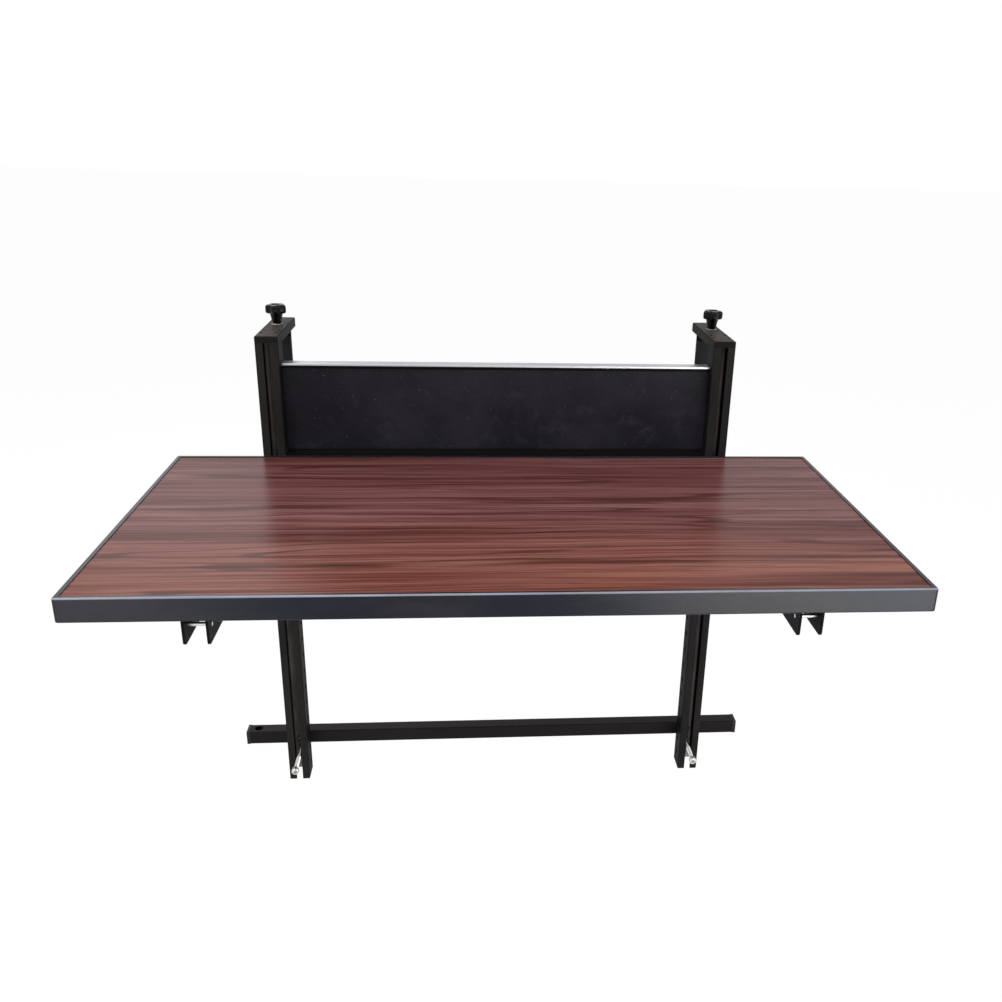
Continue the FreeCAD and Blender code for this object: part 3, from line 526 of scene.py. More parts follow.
def star_knob():
    """Built up ring by ring: the bore's ceiling, the tapered hub, the lobed head, its sunk middle."""
    rings = [
        (KNOB_HUB_LOW + KNOB_BORE_DEEP, BORE, 0.0),
        (KNOB_HUB_LOW + 0.0001, BORE, 0.0),
        (KNOB_HUB_LOW, 0.0056, 0.0),
        (KNOB_HUB_LOW + 0.0005, 0.0061, 0.0),
        (KNOB_HUB_LOW + 0.0070, 0.0069, 0.0),
        (KNOB_HEAD_LOW - 0.0012, 0.0080, 0.02),
        (KNOB_HEAD_LOW - 0.0003, 0.0087, 0.05),
        (KNOB_HEAD_LOW, 0.0103, KNOB_SWELL),
        (KNOB_HEAD_LOW + 0.0004, 0.0111, KNOB_SWELL),
        (KNOB_HEAD_LOW + 0.0014, 0.0117, KNOB_SWELL),
        (KNOB_HEAD_LOW + 0.0030, KNOB_RADIUS, KNOB_SWELL),
        (KNOB_TOP - 0.0030, KNOB_RADIUS, KNOB_SWELL),
        (KNOB_TOP - 0.0017, 0.0115, KNOB_SWELL),
        (KNOB_TOP - 0.0007, 0.0107, 0.11),
        (KNOB_TOP - 0.0002, 0.0098, 0.10),
        (KNOB_TOP, 0.0086, 0.08),
        (KNOB_TOP - 0.0001, 0.0060, 0.03),
        (KNOB_TOP - 0.0006, 0.0052, 0.0),
        (KNOB_TOP - 0.0011, 0.0047, 0.0),
        (KNOB_TOP - 0.0010, 0.0021, 0.0),
    ]
    height, radius, swell = rings[0]
    bpy.ops.mesh.primitive_circle_add(vertices=KNOB_POINTS, radius=radius, fill_type="NGON",
                                      location=(0, 0, height))
    knob = bpy.context.object
    bpy.ops.object.transform_apply(location=True)
    bpy.ops.object.mode_set(mode="EDIT")
    for new_height, new_radius, new_swell in rings[1:]:
        rise = new_height - height
        bpy.ops.mesh.extrude_edges_move(TRANSFORM_OT_translate={"value": (0, 0, rise)})
        pull_ring(knob, new_height, lobed(new_radius, new_swell))
        height = new_height
    bpy.ops.mesh.edge_face_add()
    bpy.ops.mesh.select_all(action="SELECT")
    bpy.ops.mesh.normals_make_consistent(inside=False)
    bpy.ops.object.mode_set(mode="OBJECT")
    return knob


def thread_root(radius, pitch):
    """The radius of a threaded shank between its ridges."""
    return radius - THREAD_DEEP * pitch


def thread(radius, pitch, low, high):
    """The ridge of a screw thread about Z: a three-sided coil that sits in the shank's root."""
    crest = (THREAD_DEEP + THREAD_SUNK) * pitch
    bpy.ops.mesh.primitive_plane_add(size=0.001)
    coil = bpy.context.object
    bpy.ops.object.mode_set(mode="EDIT")
    bpy.ops.mesh.merge(type="CENTER")
    bpy.ops.transform.translate(value=(thread_root(radius, pitch) - THREAD_SUNK * pitch, 0, low))
    for step in ((crest, 0, THREAD_HALF * pitch), (-crest, 0, THREAD_HALF * pitch)):
        bpy.ops.mesh.extrude_vertices_move(TRANSFORM_OT_translate={"value": step})
    bpy.ops.mesh.select_all(action="SELECT")
    mesh = bmesh.from_edit_mesh(coil.data)
    ends = [point for point in mesh.verts if len(point.link_edges) == 1]
    mesh.edges.new(ends)
    bmesh.update_edit_mesh(coil.data)
    bpy.ops.object.mode_set(mode="OBJECT")
    screw = coil.modifiers.new("thread", "SCREW")
    screw.axis = "Z"
    screw.angle = math.tau
    screw.screw_offset = pitch
    screw.iterations = int((high - low) / pitch) - 1
    screw.steps = THREAD_STEPS
    screw.render_steps = THREAD_STEPS
    bpy.ops.object.modifier_apply(modifier="thread")
    bpy.ops.object.mode_set(mode="EDIT")
    bpy.ops.mesh.select_mode(type="EDGE")
    bpy.ops.mesh.select_all(action="DESELECT")
    bpy.ops.mesh.select_non_manifold(extend=False)
    bpy.ops.mesh.fill_holes(sides=3)
    bpy.ops.mesh.select_mode(type="VERT")
    bpy.ops.mesh.select_all(action="SELECT")
    bpy.ops.mesh.normals_make_consistent(inside=False)
    bpy.ops.object.mode_set(mode="OBJECT")
    return coil


bright_zinc = zinc("bright_zinc", (0.46, 0.46, 0.45), (0.72, 0.71, 0.69), gloss=0.24)
worn_zinc = zinc("worn_zinc", (0.10, 0.10, 0.10), (0.75, 0.74, 0.72), gloss=0.30)
dull_zinc = zinc("dull_zinc", (0.20, 0.20, 0.21), (0.36, 0.36, 0.37), gloss=0.34)
# The knob's top is painted paler than its sides, a painted highlight standing in for its reflections.
knob_plastic = moulded("knob_plastic", (0.0030, 0.0030, 0.0034), gloss=0.16, sheen=0.12,
                       grain_size=1800, grain_depth=0.00003, lit_top=(0.060, 0.058, 0.056))
stud_root = thread_root(STUD_RADIUS, STUD_PITCH)
stud_top = KNOB_HUB_LOW + 0.008
stud_profile = [(0, STUD_LOW), (stud_root - 0.0004, STUD_LOW), (stud_root, STUD_LOW + 0.0004),
                (stud_root, KNOB_HUB_LOW - 0.001), (STUD_RADIUS, KNOB_HUB_LOW - 0.0004),
                (STUD_RADIUS, stud_top), (0, stud_top)]
washer_profile = [(WASHER_BORE, 0.0002), (WASHER_BORE + 0.0002, 0), (WASHER_RADIUS - 0.0004, 0),
                  (WASHER_RADIUS, 0.0004), (WASHER_RADIUS, WASHER_THICK - 0.0004),
                  (WASHER_RADIUS - 0.0004, WASHER_THICK), (WASHER_BORE + 0.0002, WASHER_THICK),
                  (WASHER_BORE, WASHER_THICK - 0.0002), (WASHER_BORE, 0.0002)]
washers = []
for name, side in SIDES:
    x = side * POST_X
    stand_in(set_down(star_knob(), (x, STUD_Y, 0)), knob_plastic, "clamp_knob_" + name)
    shank = turned(stud_profile)
    ridge = thread(STUD_RADIUS, STUD_PITCH, STUD_LOW + 0.0002, KNOB_HUB_LOW)
    stud = set_down(joined([shank, ridge]), (x, STUD_Y, 0))
    stand_in(stud, bright_zinc, "clamp_stud_" + name)
    washers.append(set_down(turned(washer_profile), (x, STUD_Y, HOOK_TOP)))
    eased("clamp_nut_" + name, dull_zinc)
stand_in(joined(washers), worn_zinc, "clamp_washers")


# Crossbar. Square steel tube in the same coat, bolted behind the posts' feet. Its colour is painted
# a shade browner, a painted reflection of the leaf's brown underside.
# Black plastic caps are pushed into both ends.
BAR_HALF = 0.360
BAR_Y = 0.008
BAR_Z = -0.5778
BAR_SIZE = 0.020
CAP_HEAD = 0.005
CAP_CORNER = 0.002
CAP_RIM = 0.0006
CAP_BORDER = 0.0022
CAP_SUNK = 0.0005
CAP_PLUG = 0.0035
CAP_PLUG_INSET = 0.0016
CAP_PLUG_TAPER = 0.97
CAP_EDGE = 0.0005
CAP_ANGLE = math.radians(50)
# The coat's brown tint is a painted reflection of the leaf's underside.
bar_coat = powder_coat("crossbar_powder_coat", (0.0150, 0.0126, 0.0126), gloss=0.34, sheen=0.06)
eased("crossbar", bar_coat)


def select_faces(piece, test):
    """Selects the faces that pass a test, in edit mode."""
    bpy.ops.mesh.select_mode(type="FACE")
    mesh = bmesh.from_edit_mesh(piece.data)
    bpy.ops.mesh.select_all(action="DESELECT")
    for face in mesh.faces:
        face.select = test(face)
    mesh.select_flush(True)
    bmesh.update_edit_mesh(piece.data)


def end_cap():
    """The cap's head with a shallow sunk face, outwards along Z, and its plug below."""
    bpy.ops.mesh.primitive_cube_add(size=1, location=(0, 0, -CAP_HEAD / 2),
                                    scale=(BAR_SIZE, BAR_SIZE, CAP_HEAD))
    cap = bpy.context.object
    bpy.ops.object.transform_apply(location=True, rotation=True, scale=True)
    bpy.ops.object.mode_set(mode="EDIT")
    mesh = bmesh.from_edit_mesh(cap.data)
    bpy.ops.mesh.select_all(action="DESELECT")
    for edge in mesh.edges:
        ends = edge.verts
        edge.select = abs(ends[0].co.z - ends[1].co.z) > CAP_HEAD / 2
    mesh.select_flush(True)
    bmesh.update_edit_mesh(cap.data)
    bpy.ops.mesh.bevel(offset=CAP_CORNER, segments=5, affect="EDGES")
    select_faces(cap, lambda face: face.normal.z > 0.9)
    bpy.ops.mesh.inset(thickness=CAP_RIM, depth=0)
    bpy.ops.mesh.inset(thickness=CAP_BORDER, depth=0)
    bpy.ops.mesh.inset(thickness=CAP_SUNK, depth=-CAP_SUNK)
    select_faces(cap, lambda face: face.normal.z < -0.9)
    bpy.ops.mesh.inset(thickness=CAP_PLUG_INSET, depth=0)
    bpy.ops.mesh.extrude_region_move(TRANSFORM_OT_translate={"value": (0, 0, -CAP_PLUG)})
    bpy.ops.transform.resize(value=(CAP_PLUG_TAPER, CAP_PLUG_TAPER, 1), center_override=(0, 0, 0))
    bpy.ops.mesh.select_mode(type="VERT")
    bpy.ops.object.mode_set(mode="OBJECT")
    ease_edges(cap, CAP_EDGE, CAP_ANGLE)
    return cap


cap_plastic = moulded("cap_plastic", (0.010, 0.010, 0.011), gloss=0.42, sheen=0.22,
                      grain_size=2600, grain_depth=0.00008)
for name, side in SIDES:
    cap = set_down(end_cap(), (side * BAR_HALF, BAR_Y, BAR_Z), up=(side, 0, 0), right=(0, 0, 1))
    stand_in(cap, cap_plastic, "crossbar_end_cap_" + name)


# Crossbar bolts. Low zinc-plated cap screws, put in from inside the posts and through the tube,
# each with a washer and a hexagon nut behind.
BAR_BACK = 0.018
BOLT_RADIUS = 0.003
BOLT_HEAD_RADIUS = 0.0050
BOLT_HEAD = 0.0040
BOLT_END = 0.0325
BOLT_KEY = 0.004
NUT_WASHER = 0.0060
NUT_WASHER_THICK = 0.0012
NUT_FLATS = 0.010
NUT_SINK = 0.0005
NUT_CHAMFER = 0.62
CUT_PAST = 0.001


def hexagon(flats, low, high):
    """A hexagonal bar about Z with two corners along X."""
    bpy.ops.mesh.primitive_cylinder_add(vertices=6, radius=flats / math.sqrt(3), depth=high - low,
                                        location=(0, 0, (low + high) / 2),
                                        rotation=(0, 0, math.pi / 2))
    bar = bpy.context.object
    bpy.ops.object.transform_apply(location=True, rotation=True, scale=True)
    return bar


def cut(piece, tool, operation="DIFFERENCE"):
    """Cuts a piece with a tool, which is then taken away."""
    start_alone(piece)
    change = piece.modifiers.new("cut", "BOOLEAN")
    change.operation = operation
    change.object = tool
    bpy.ops.object.modifier_apply(modifier="cut")
    bpy.data.objects.remove(tool)
    return piece


def hex_nut(thick):
    """A nut on Z = 0, chamfered where a cone meets its corners, with a countersunk bore."""
    corner = NUT_FLATS / math.sqrt(3)
    side = NUT_FLATS / 2
    chamfer = (corner - side) * NUT_CHAMFER
    nut = hexagon(NUT_FLATS, 0, thick)
    cut(nut, turned([(0, 0), (side * 0.97, 0), (corner * 1.03, chamfer),
                     (corner * 1.03, thick - chamfer), (side * 0.97, thick), (0, thick)], 60),
        "INTERSECT")
    return cut(nut, turned([(0, -NUT_SINK), (BORE + 2 * NUT_SINK, -NUT_SINK), (BORE, NUT_SINK),
                            (BORE, thick - NUT_SINK), (BORE + 2 * NUT_SINK, thick + NUT_SINK),
                            (0, thick + NUT_SINK)], 40))


def bolt(profile, key_depth):
    """A turned screw with its head down at Z = 0 and a hexagonal socket in it."""
    return cut(turned(profile), hexagon(BOLT_KEY, -CUT_PAST, key_depth))


cap_screw = [(0, 0), (BOLT_HEAD_RADIUS - 0.0007, 0), (BOLT_HEAD_RADIUS - 0.0002, 0.0003),
             (BOLT_HEAD_RADIUS, 0.0008), (BOLT_HEAD_RADIUS, BOLT_HEAD - 0.0003),
             (BOLT_HEAD_RADIUS - 0.0003, BOLT_HEAD), (BOLT_RADIUS, BOLT_HEAD),
             (BOLT_RADIUS, BOLT_END - 0.0004), (BOLT_RADIUS - 0.0004, BOLT_END), (0, BOLT_END)]
plain_washer = [(BORE, 0.0001), (NUT_WASHER - 0.0002, 0), (NUT_WASHER, 0.0002),
                (NUT_WASHER, NUT_WASHER_THICK - 0.0002), (NUT_WASHER - 0.0002, NUT_WASHER_THICK),
                (BORE, NUT_WASHER_THICK), (BORE, 0.0001)]
bolts, nuts = [], []
for name, side in SIDES:
    x = side * POST_X
    bolts.append(set_down(bolt(cap_screw, 0.0025), (x, WEB_FRONT - BOLT_HEAD, BAR_Z), up=(0, 1, 0)))
    nuts.append(set_down(turned(plain_washer), (x, BAR_BACK, BAR_Z), up=(0, 1, 0)))
    nuts.append(set_down(hex_nut(0.0048), (x, BAR_BACK + NUT_WASHER_THICK, BAR_Z), up=(0, 1, 0)))
stand_in(joined(bolts), dull_zinc, "crossbar_bolts")
stand_in(joined(nuts), dull_zinc, "crossbar_nuts")


# Levelling. A long zinc cap screw runs through a nut welded to each post's web. Its tip turns in
# a nylon foot with a rubber sole, which bears on what stands behind the posts.
LEVEL_Z = -0.594
LEVEL_RADIUS = 0.003
LEVEL_PITCH = 0.001
LEVEL_FRONT = -0.063
LEVEL_HEAD = 0.006
LEVEL_HEAD_RADIUS = 0.005
LEVEL_LENGTH = 0.088
LEVEL_KEY = 0.005
KNURL_STEPS = 72
KNURL_PULL = 0.962
NUT_FRONT = -0.009
FOOT_FRONT = 0.019
FOOT_RADIUS = 0.0120
FOOT_LONG = 0.0100
FOOT_NECK = 0.0055
FOOT_BORE_DEEP = 0.0063
SOLE_TOP = 0.0040
SOLE_VALLEY = 0.0033
SOLE_GROOVES = (0.0092, 0.0062)
SOLE_HOLLOW = 0.0032


def levelling_screw():
    """Head down at Z = 0: knurled, with a rounded rim and a deep hexagonal socket."""
    root = thread_root(LEVEL_RADIUS, LEVEL_PITCH)
    edge = LEVEL_HEAD_RADIUS
    profile = [(0, 0), (edge - 0.0010, 0), (edge - 0.0004, 0.0002), (edge - 0.0001, 0.0006),
               (edge, 0.0010), (edge, LEVEL_HEAD - 0.0006), (edge - 0.0002, LEVEL_HEAD - 0.0001),
               (edge - 0.0005, LEVEL_HEAD), (LEVEL_RADIUS, LEVEL_HEAD),
               (LEVEL_RADIUS, LEVEL_HEAD + 0.0015), (root, LEVEL_HEAD + 0.0022),
               (root, LEVEL_LENGTH - 0.0012), (root - 0.0008, LEVEL_LENGTH), (0, LEVEL_LENGTH)]
    screw = turned(profile, KNURL_STEPS)
    start_alone(screw)
    bpy.ops.object.mode_set(mode="EDIT")
    mesh = bmesh.from_edit_mesh(screw.data)
    bpy.ops.mesh.select_all(action="DESELECT")
    for point in mesh.verts:
        turn = math.atan2(point.co.y, point.co.x) / math.tau * KNURL_STEPS
        on_rim = math.hypot(point.co.x, point.co.y) > edge - 0.00005
        point.select = on_rim and round(turn) % 2 == 0
    mesh.select_flush(True)
    bmesh.update_edit_mesh(screw.data)
    bpy.ops.transform.resize(value=(KNURL_PULL, KNURL_PULL, 1), center_override=(0, 0, 0))
    bpy.ops.object.mode_set(mode="OBJECT")
    cut(screw, hexagon(LEVEL_KEY, -CUT_PAST, 0.0035))
    ridge = thread(LEVEL_RADIUS, LEVEL_PITCH, LEVEL_HEAD + 0.0020, LEVEL_LENGTH - 0.0008)
    return joined([screw, ridge])


foot_nylon = moulded("foot_nylon", (0.016, 0.016, 0.016), gloss=0.40, sheen=0.3,
                     grain_size=1500, grain_depth=0.00005)
foot_profile = [(BORE, 0.0001), (FOOT_NECK - 0.0005, 0), (FOOT_NECK, 0.0005), (FOOT_NECK, 0.0060),
                (0.0060, 0.0069), (0.0072, 0.0074), (FOOT_RADIUS - 0.0008, FOOT_LONG - 0.0022),
                (FOOT_RADIUS, FOOT_LONG - 0.0014), (FOOT_RADIUS, FOOT_LONG - 0.0002),
                (FOOT_RADIUS - 0.0002, FOOT_LONG), (0, FOOT_LONG), (0, FOOT_BORE_DEEP),
                (BORE, FOOT_BORE_DEEP), (BORE, 0.0001)]
sole_profile = [(0, 0), (FOOT_RADIUS - 0.0002, 0), (FOOT_RADIUS, 0.0002), (FOOT_RADIUS, 0.0026),
                (FOOT_RADIUS - 0.0004, SOLE_TOP - 0.0004), (FOOT_RADIUS - 0.0014, SOLE_TOP)]
for groove in SOLE_GROOVES:
    sole_profile += [(groove, SOLE_TOP), (groove - 0.0004, SOLE_VALLEY),
                     (groove - 0.0012, SOLE_VALLEY), (groove - 0.0016, SOLE_TOP)]
sole_profile += [(SOLE_HOLLOW, SOLE_TOP), (SOLE_HOLLOW - 0.0004, SOLE_VALLEY), (0, SOLE_VALLEY)]
for name, side in SIDES:
    x = side * POST_X
    nut = set_down(hex_nut(0.005), (x, NUT_FRONT, LEVEL_Z), up=(0, 1, 0))
    stand_in(nut, bright_zinc, "levelling_nut_" + name)
    screw = set_down(levelling_screw(), (x, LEVEL_FRONT, LEVEL_Z), up=(0, 1, 0))
    stand_in(screw, bright_zinc, "levelling_screw_" + name)
    foot = set_down(turned(foot_profile), (x, FOOT_FRONT, LEVEL_Z), up=(0, 1, 0))
    stand_in(foot, foot_nylon, "levelling_foot_" + name)
    sole = set_down(turned(sole_profile), (x, FOOT_FRONT + FOOT_LONG, LEVEL_Z), up=(0, 1, 0))
    stand_in(sole, pad_rubber, "foot_sole_" + name)


# Back panel. Sheet steel with folded edges, screwed between the posts above the leaf. Its
# fine-textured black coat shows specks and faint clouds. It is painted dark under the top cap's
# lip as a painted shadow, and on the ledge below as painted shade.
PANEL_LIP_Z = -0.0278
LEDGE_Z = -0.1372
panel = Finish("panel_powder_coat", Specular_IOR_Level=0.10)
clouds = panel.noise(7, detail=5.0, roughness=0.6)
blotches = panel.noise(42, detail=4.0, roughness=0.6, shift=(0.7, 0.1, 0.4))
texture = panel.noise(2200, detail=2.0)
specks = panel.noise(240, detail=2.0, shift=(0.2, 0.5, 0.1))
panel_height = panel.axis("Z")
# Painted shadow: a dark band just below the top cap's lip.
shadow_under_cap = panel.steps(panel_height, PANEL_LIP_Z - 0.0030, PANEL_LIP_Z - 0.0022)
# Painted shade: the ledge at the panel's foot is painted darker, in the gap over the leaf's back edge.
ledge_shade = 1.0 - panel.steps(panel_height, LEDGE_Z + 0.0006, LEDGE_Z + 0.0060)
panel_shade = panel.blend(panel.steps(clouds, 0.36, 0.66),
                          (0.0150, 0.0145, 0.0198), (0.0290, 0.0280, 0.0375))
for amount, colour in ((panel.steps(blotches, 0.52, 0.74) * 0.32, (0.060, 0.059, 0.072)),
                       (panel.steps(specks, 0.67, 0.75) * 0.5, (0.120, 0.118, 0.130)),
                       (shadow_under_cap, (0.001, 0.001, 0.001)),
                       (ledge_shade, (0.0050, 0.0034, 0.0026))):
    panel_shade = panel.blend(amount, panel_shade, colour)
panel_rough = clouds * 0.18 + ledge_shade * 0.3 + 0.36
eased("back_panel", panel.done(panel_shade, panel_rough, texture, depth=0.00007, strength=0.5))


# Panel cap. An extruded aluminium strip pressed over the panel's top edge, satin anodised, with
# faint lines along its length. The lower edge of its front lip is painted dark, a painted shadow of
# the gap under it.
CAP_STRIP_EDGE = 0.00015
satin = Finish("satin_anodised", Metallic=1.0)
drawn = satin.noise(900, detail=3.0, stretch=(0.01, 1, 1))
satin_shade = satin.blend(satin.noise(14, detail=3.0), (0.58, 0.585, 0.625), (0.70, 0.705, 0.745))
# Painted shadow: the lower edge of the cap's front lip is painted dark.
shadow_under_lip = 1.0 - satin.steps(satin.axis("Z"), PANEL_LIP_Z + 0.0014, PANEL_LIP_Z + 0.0020)
satin_shade = satin.blend(shadow_under_lip, satin_shade, (0.015, 0.013, 0.014))
satin_rough = drawn * 0.16 + shadow_under_lip * 0.3 + 0.26
satin_anodised = satin.done(satin_shade, satin_rough, drawn, depth=0.00003, strength=0.4)
eased("panel_top_trim", satin_anodised, edge=CAP_STRIP_EDGE)


# Panel screws. Zinc-plated pan heads with a cross recess, driven through the panel's folded ends
# into the posts' inner walls.
PANEL_FACE_X = 0.2667
PANEL_SCREW_Y = -0.010
PANEL_SCREW_Z = (-0.055, -0.112)
PAN_HEAD = 0.0022
PAN_DOME = 0.75
CROSS_LONG = 1.1
CROSS_WIDE = 0.24


def cross_screw(head_radius, shank_radius, length):
    """A pan-head screw, head down at Z = 0, with a cross cut in it."""
    crown = PAN_HEAD * PAN_DOME
    profile = dome_down(head_radius, crown, crown)
    profile += [(head_radius, PAN_HEAD), (shank_radius, PAN_HEAD),
                (shank_radius, PAN_HEAD + length - shank_radius), (0, PAN_HEAD + length)]
    screw = turned(profile, 36)
    long, wide, deep = head_radius * CROSS_LONG, head_radius * CROSS_WIDE, PAN_HEAD * CROSS_LONG
    for size in ((long, wide, deep), (wide, long, deep)):
        bpy.ops.mesh.primitive_cube_add(size=1, scale=size)
        blade = bpy.context.object
        bpy.ops.object.transform_apply(location=True, rotation=True, scale=True)
        cut(screw, blade)
    return screw


screws = []
for name, side in SIDES:
    for z in PANEL_SCREW_Z:
        screw = cross_screw(head_radius=0.0036, shank_radius=0.002, length=0.008)
        screws.append(set_down(screw, (side * (PANEL_FACE_X - PAN_HEAD), PANEL_SCREW_Y, z),
                               up=(side, 0, 0), right=(0, 0, 1)))
stand_in(joined(screws), dull_zinc, "panel_screws")


# Slide brackets. U-shaped brackets of folded steel, each held on its slot by two button-head
# bolts and a nut bar inside the post.
BRACKET_FRONT = -0.035
BRACKET_BOLT_Z = (-0.208, -0.252)
BUTTON_RADIUS = 0.00525
BUTTON_RISE = 0.0033
BUTTON_RIM = 0.0004
BUTTON_END = 0.0173
arm_coat = powder_coat("arm_powder_coat", (0.0080, 0.0080, 0.0086), gloss=0.46, sheen=0.025)
for name, side in SIDES:
    eased("slide_bracket_" + name, arm_coat)
    eased("slide_nut_" + name, dull_zinc)
button = dome_down(BUTTON_RADIUS, BUTTON_RISE - BUTTON_RIM, BUTTON_RISE - BUTTON_RIM)
button += [(BUTTON_RADIUS, BUTTON_RISE), (BOLT_RADIUS, BUTTON_RISE),
           (BOLT_RADIUS, BUTTON_END - 0.0003), (BOLT_RADIUS - 0.0004, BUTTON_END), (0, BUTTON_END)]
bolts = []
for name, side in SIDES:
    for z in BRACKET_BOLT_Z:
        bolts.append(set_down(bolt(button, 0.002),
                              (side * POST_X, BRACKET_FRONT - BUTTON_RISE, z), up=(0, 1, 0)))
stand_in(joined(bolts), dull_zinc, "slide_bolts")


# Hinge pins and prop pivots. Bright zinc pins: headed and held by a ring at the leaf's hinge,
# and plain with chamfered ends in the brackets' ears below.
PIVOT_Y = -0.047
PIVOT_Z = -0.175
PROP_PIVOT_Z = -0.285
PIN = 0.003
PIN_HEAD = 0.0020
PIN_HEAD_RADIUS = 0.0050
PIN_CHAMFER = 0.0004
HINGE_HALF = 0.0122
EAR_HALF = 0.0092
GROOVE_RADIUS = 0.0024
RING_BORE = 0.0025
RING_RADIUS = 0.0048


def headed_pin():
    """Along Z through the middle: a head at the low end, and a groove and ring at the high one."""
    half = HINGE_HALF
    low, high = half + 0.0002, half + 0.0012
    pin = turned([(0, -half - PIN_HEAD), (PIN_HEAD_RADIUS - 0.0005, -half - PIN_HEAD),
                  (PIN_HEAD_RADIUS, -half - PIN_HEAD + PIN_CHAMFER), (PIN_HEAD_RADIUS, -half),
                  (PIN, -half), (PIN, low - 0.0001), (GROOVE_RADIUS, low),
                  (GROOVE_RADIUS, high - 0.0001), (PIN, high), (PIN, half + PIN_HEAD - PIN_CHAMFER),
                  (PIN - PIN_CHAMFER, half + PIN_HEAD), (0, half + PIN_HEAD)])
    ring = turned([(RING_BORE, low), (RING_RADIUS - 0.0002, low), (RING_RADIUS, low + 0.0002),
                   (RING_RADIUS, high - 0.0002), (RING_RADIUS - 0.0002, high), (RING_BORE, high),
                   (RING_BORE, low)])
    return joined([pin, ring])


def plain_pin(half, radius, rise=0.0):
    """Along Z through the middle, with chamfered or domed ends."""
    if rise:
        low = dome_down(radius, rise, rise - half)
        high = [(r, half - rise + h) for r, h in dome(radius, rise)]
    else:
        low = [(0, -half), (radius - PIN_CHAMFER, -half), (radius, -half + PIN_CHAMFER)]
        high = [(radius, half - PIN_CHAMFER), (radius - PIN_CHAMFER, half), (0, half)]
    return turned(low + high, 40)


pins = []
for name, side in SIDES:
    x = side * POST_X
    pin = set_down(headed_pin(), (x, PIVOT_Y, PIVOT_Z), up=(1, 0, 0), right=(0, 0, 1))
    stand_in(pin, bright_zinc, "hinge_pin_" + name)
    pins.append(set_down(plain_pin(EAR_HALF, PIN), (x, PIVOT_Y, PROP_PIVOT_Z), up=(1, 0, 0),
                         right=(0, 0, 1)))
stand_in(joined(pins), bright_zinc, "prop_pivot_pins")


# Props. Folded steel channels that swing on the brackets, each with a cross pin at its tip that
# drops into the arm's notches.
PROP_TIP_Y = -0.225
PROP_TIP_Z = -0.172
PROP_TIP_HALF = 0.009
for name, side in SIDES:
    eased("prop_" + name, arm_coat)
    pin = set_down(plain_pin(PROP_TIP_HALF, PIN), (side * POST_X, PROP_TIP_Y, PROP_TIP_Z),
                   up=(1, 0, 0), right=(0, 0, 1))
    stand_in(pin, bright_zinc, "prop_tip_pin_" + name)


# Arms. Upturned steel channels screwed under the board, with a notched track in both walls.
# A riveted cross pin near the front keeps the walls apart.
ARM_SCREW_Y = (-0.080, -0.180, -0.300, -0.400)
ARM_WEB_LOW = -0.1635
ARM_PIN_Y = -0.419
ARM_PIN_Z = -0.173
screws, pins = [], []
for name, side in SIDES:
    x = side * POST_X
    eased("arm_" + name, arm_coat)
    pins.append(set_down(plain_pin(half=0.0124, radius=0.002, rise=0.0004),
                         (x, ARM_PIN_Y, ARM_PIN_Z), up=(1, 0, 0), right=(0, 0, 1)))
    for y in ARM_SCREW_Y:
        screw = cross_screw(head_radius=0.004, shank_radius=0.0018, length=0.0165)
        screws.append(set_down(screw, (x, y, ARM_WEB_LOW - PAN_HEAD)))
stand_in(joined(pins), bright_zinc, "arm_end_pins")
stand_in(joined(screws), dull_zinc, "arm_screws")


# Leaf's board. Particle board, edged all round and laminated on top, so that only its underside
# shows. That has a brown backing sheet with a mottled, fibrous face.
def dress(finish, *names):
    """Gives CAD nodes a finish."""
    for name in names:
        nodes[name].data.materials.clear()
        nodes[name].data.materials.append(finish)


backing = Finish("brown_backing_sheet", Specular_IOR_Level=0.25)
fibre = backing.noise(700, detail=3.0, stretch=(0.3, 1, 1))
mottle = backing.noise(30, detail=4.0)
backing_shade = backing.ramp(mottle * 0.6 + fibre * 0.4, [
    (0.30, (0.060, 0.036, 0.024)), (0.50, (0.085, 0.054, 0.037)), (0.70, (0.115, 0.076, 0.054))])
dress(backing.done(backing_shade, fibre * 0.15 + 0.50, fibre, depth=0.00006, strength=0.4),
      "table_board")


# Leaf's skin. High-pressure laminate printed as reddish-brown wood, its grain along the leaf:
# broad bands, thin dark lines that drift over many centimetres, and short pores. Towards the
# front edge it is painted lighter and warmer, as painted light.
LEAF_FRONT = -0.438
TONES = ((0.38, (0.086, 0.0225, 0.021)), (0.46, (0.146, 0.050, 0.048)),
         (0.53, (0.198, 0.079, 0.078)), (0.62, (0.258, 0.113, 0.104)))
FRONT_LIGHT = (1.45, 1.33, 1.00)
RING_TONE = (0.052, 0.013, 0.011)
LINE_TONE = (0.048, 0.012, 0.010)
PORE_TONE = (0.062, 0.018, 0.014)
wood = Finish("wood_grain_laminate", Specular_IOR_Level=0.05)
along = wood.axis("X")
drift = wood.noise(1.0, detail=2.0, stretch=(9, 14, 1), shift=(0.4, 0.2, 0))
sway = wood.noise(1.0, detail=1.0, stretch=(1.8, 3, 1), shift=(2.1, 1.4, 0))
across = wood.axis("Y") + drift * 0.006 + sway * 0.022


def streaks(length, width, detail, shift):
    """Streaks of about this length and width in metres, which drift with the grain."""
    point = wood.node("ShaderNodeCombineXYZ", {}, {
        "X": along * (1 / length) + shift, "Y": across * (1 / width), "Z": shift})
    return wood.node("ShaderNodeTexNoise", {}, {
        "Vector": point, "Scale": 1.0, "Detail": detail, "Roughness": 0.55})


def growth_lines(field, rings, thin):
    """Thin lines that follow the contours of a streaked field, as the rings of a plank do."""
    ring = field * rings
    off_line = abs(ring.math("FRACT", ring) - 0.5)
    return 1.0 - wood.steps(off_line, thin * 0.3, thin)


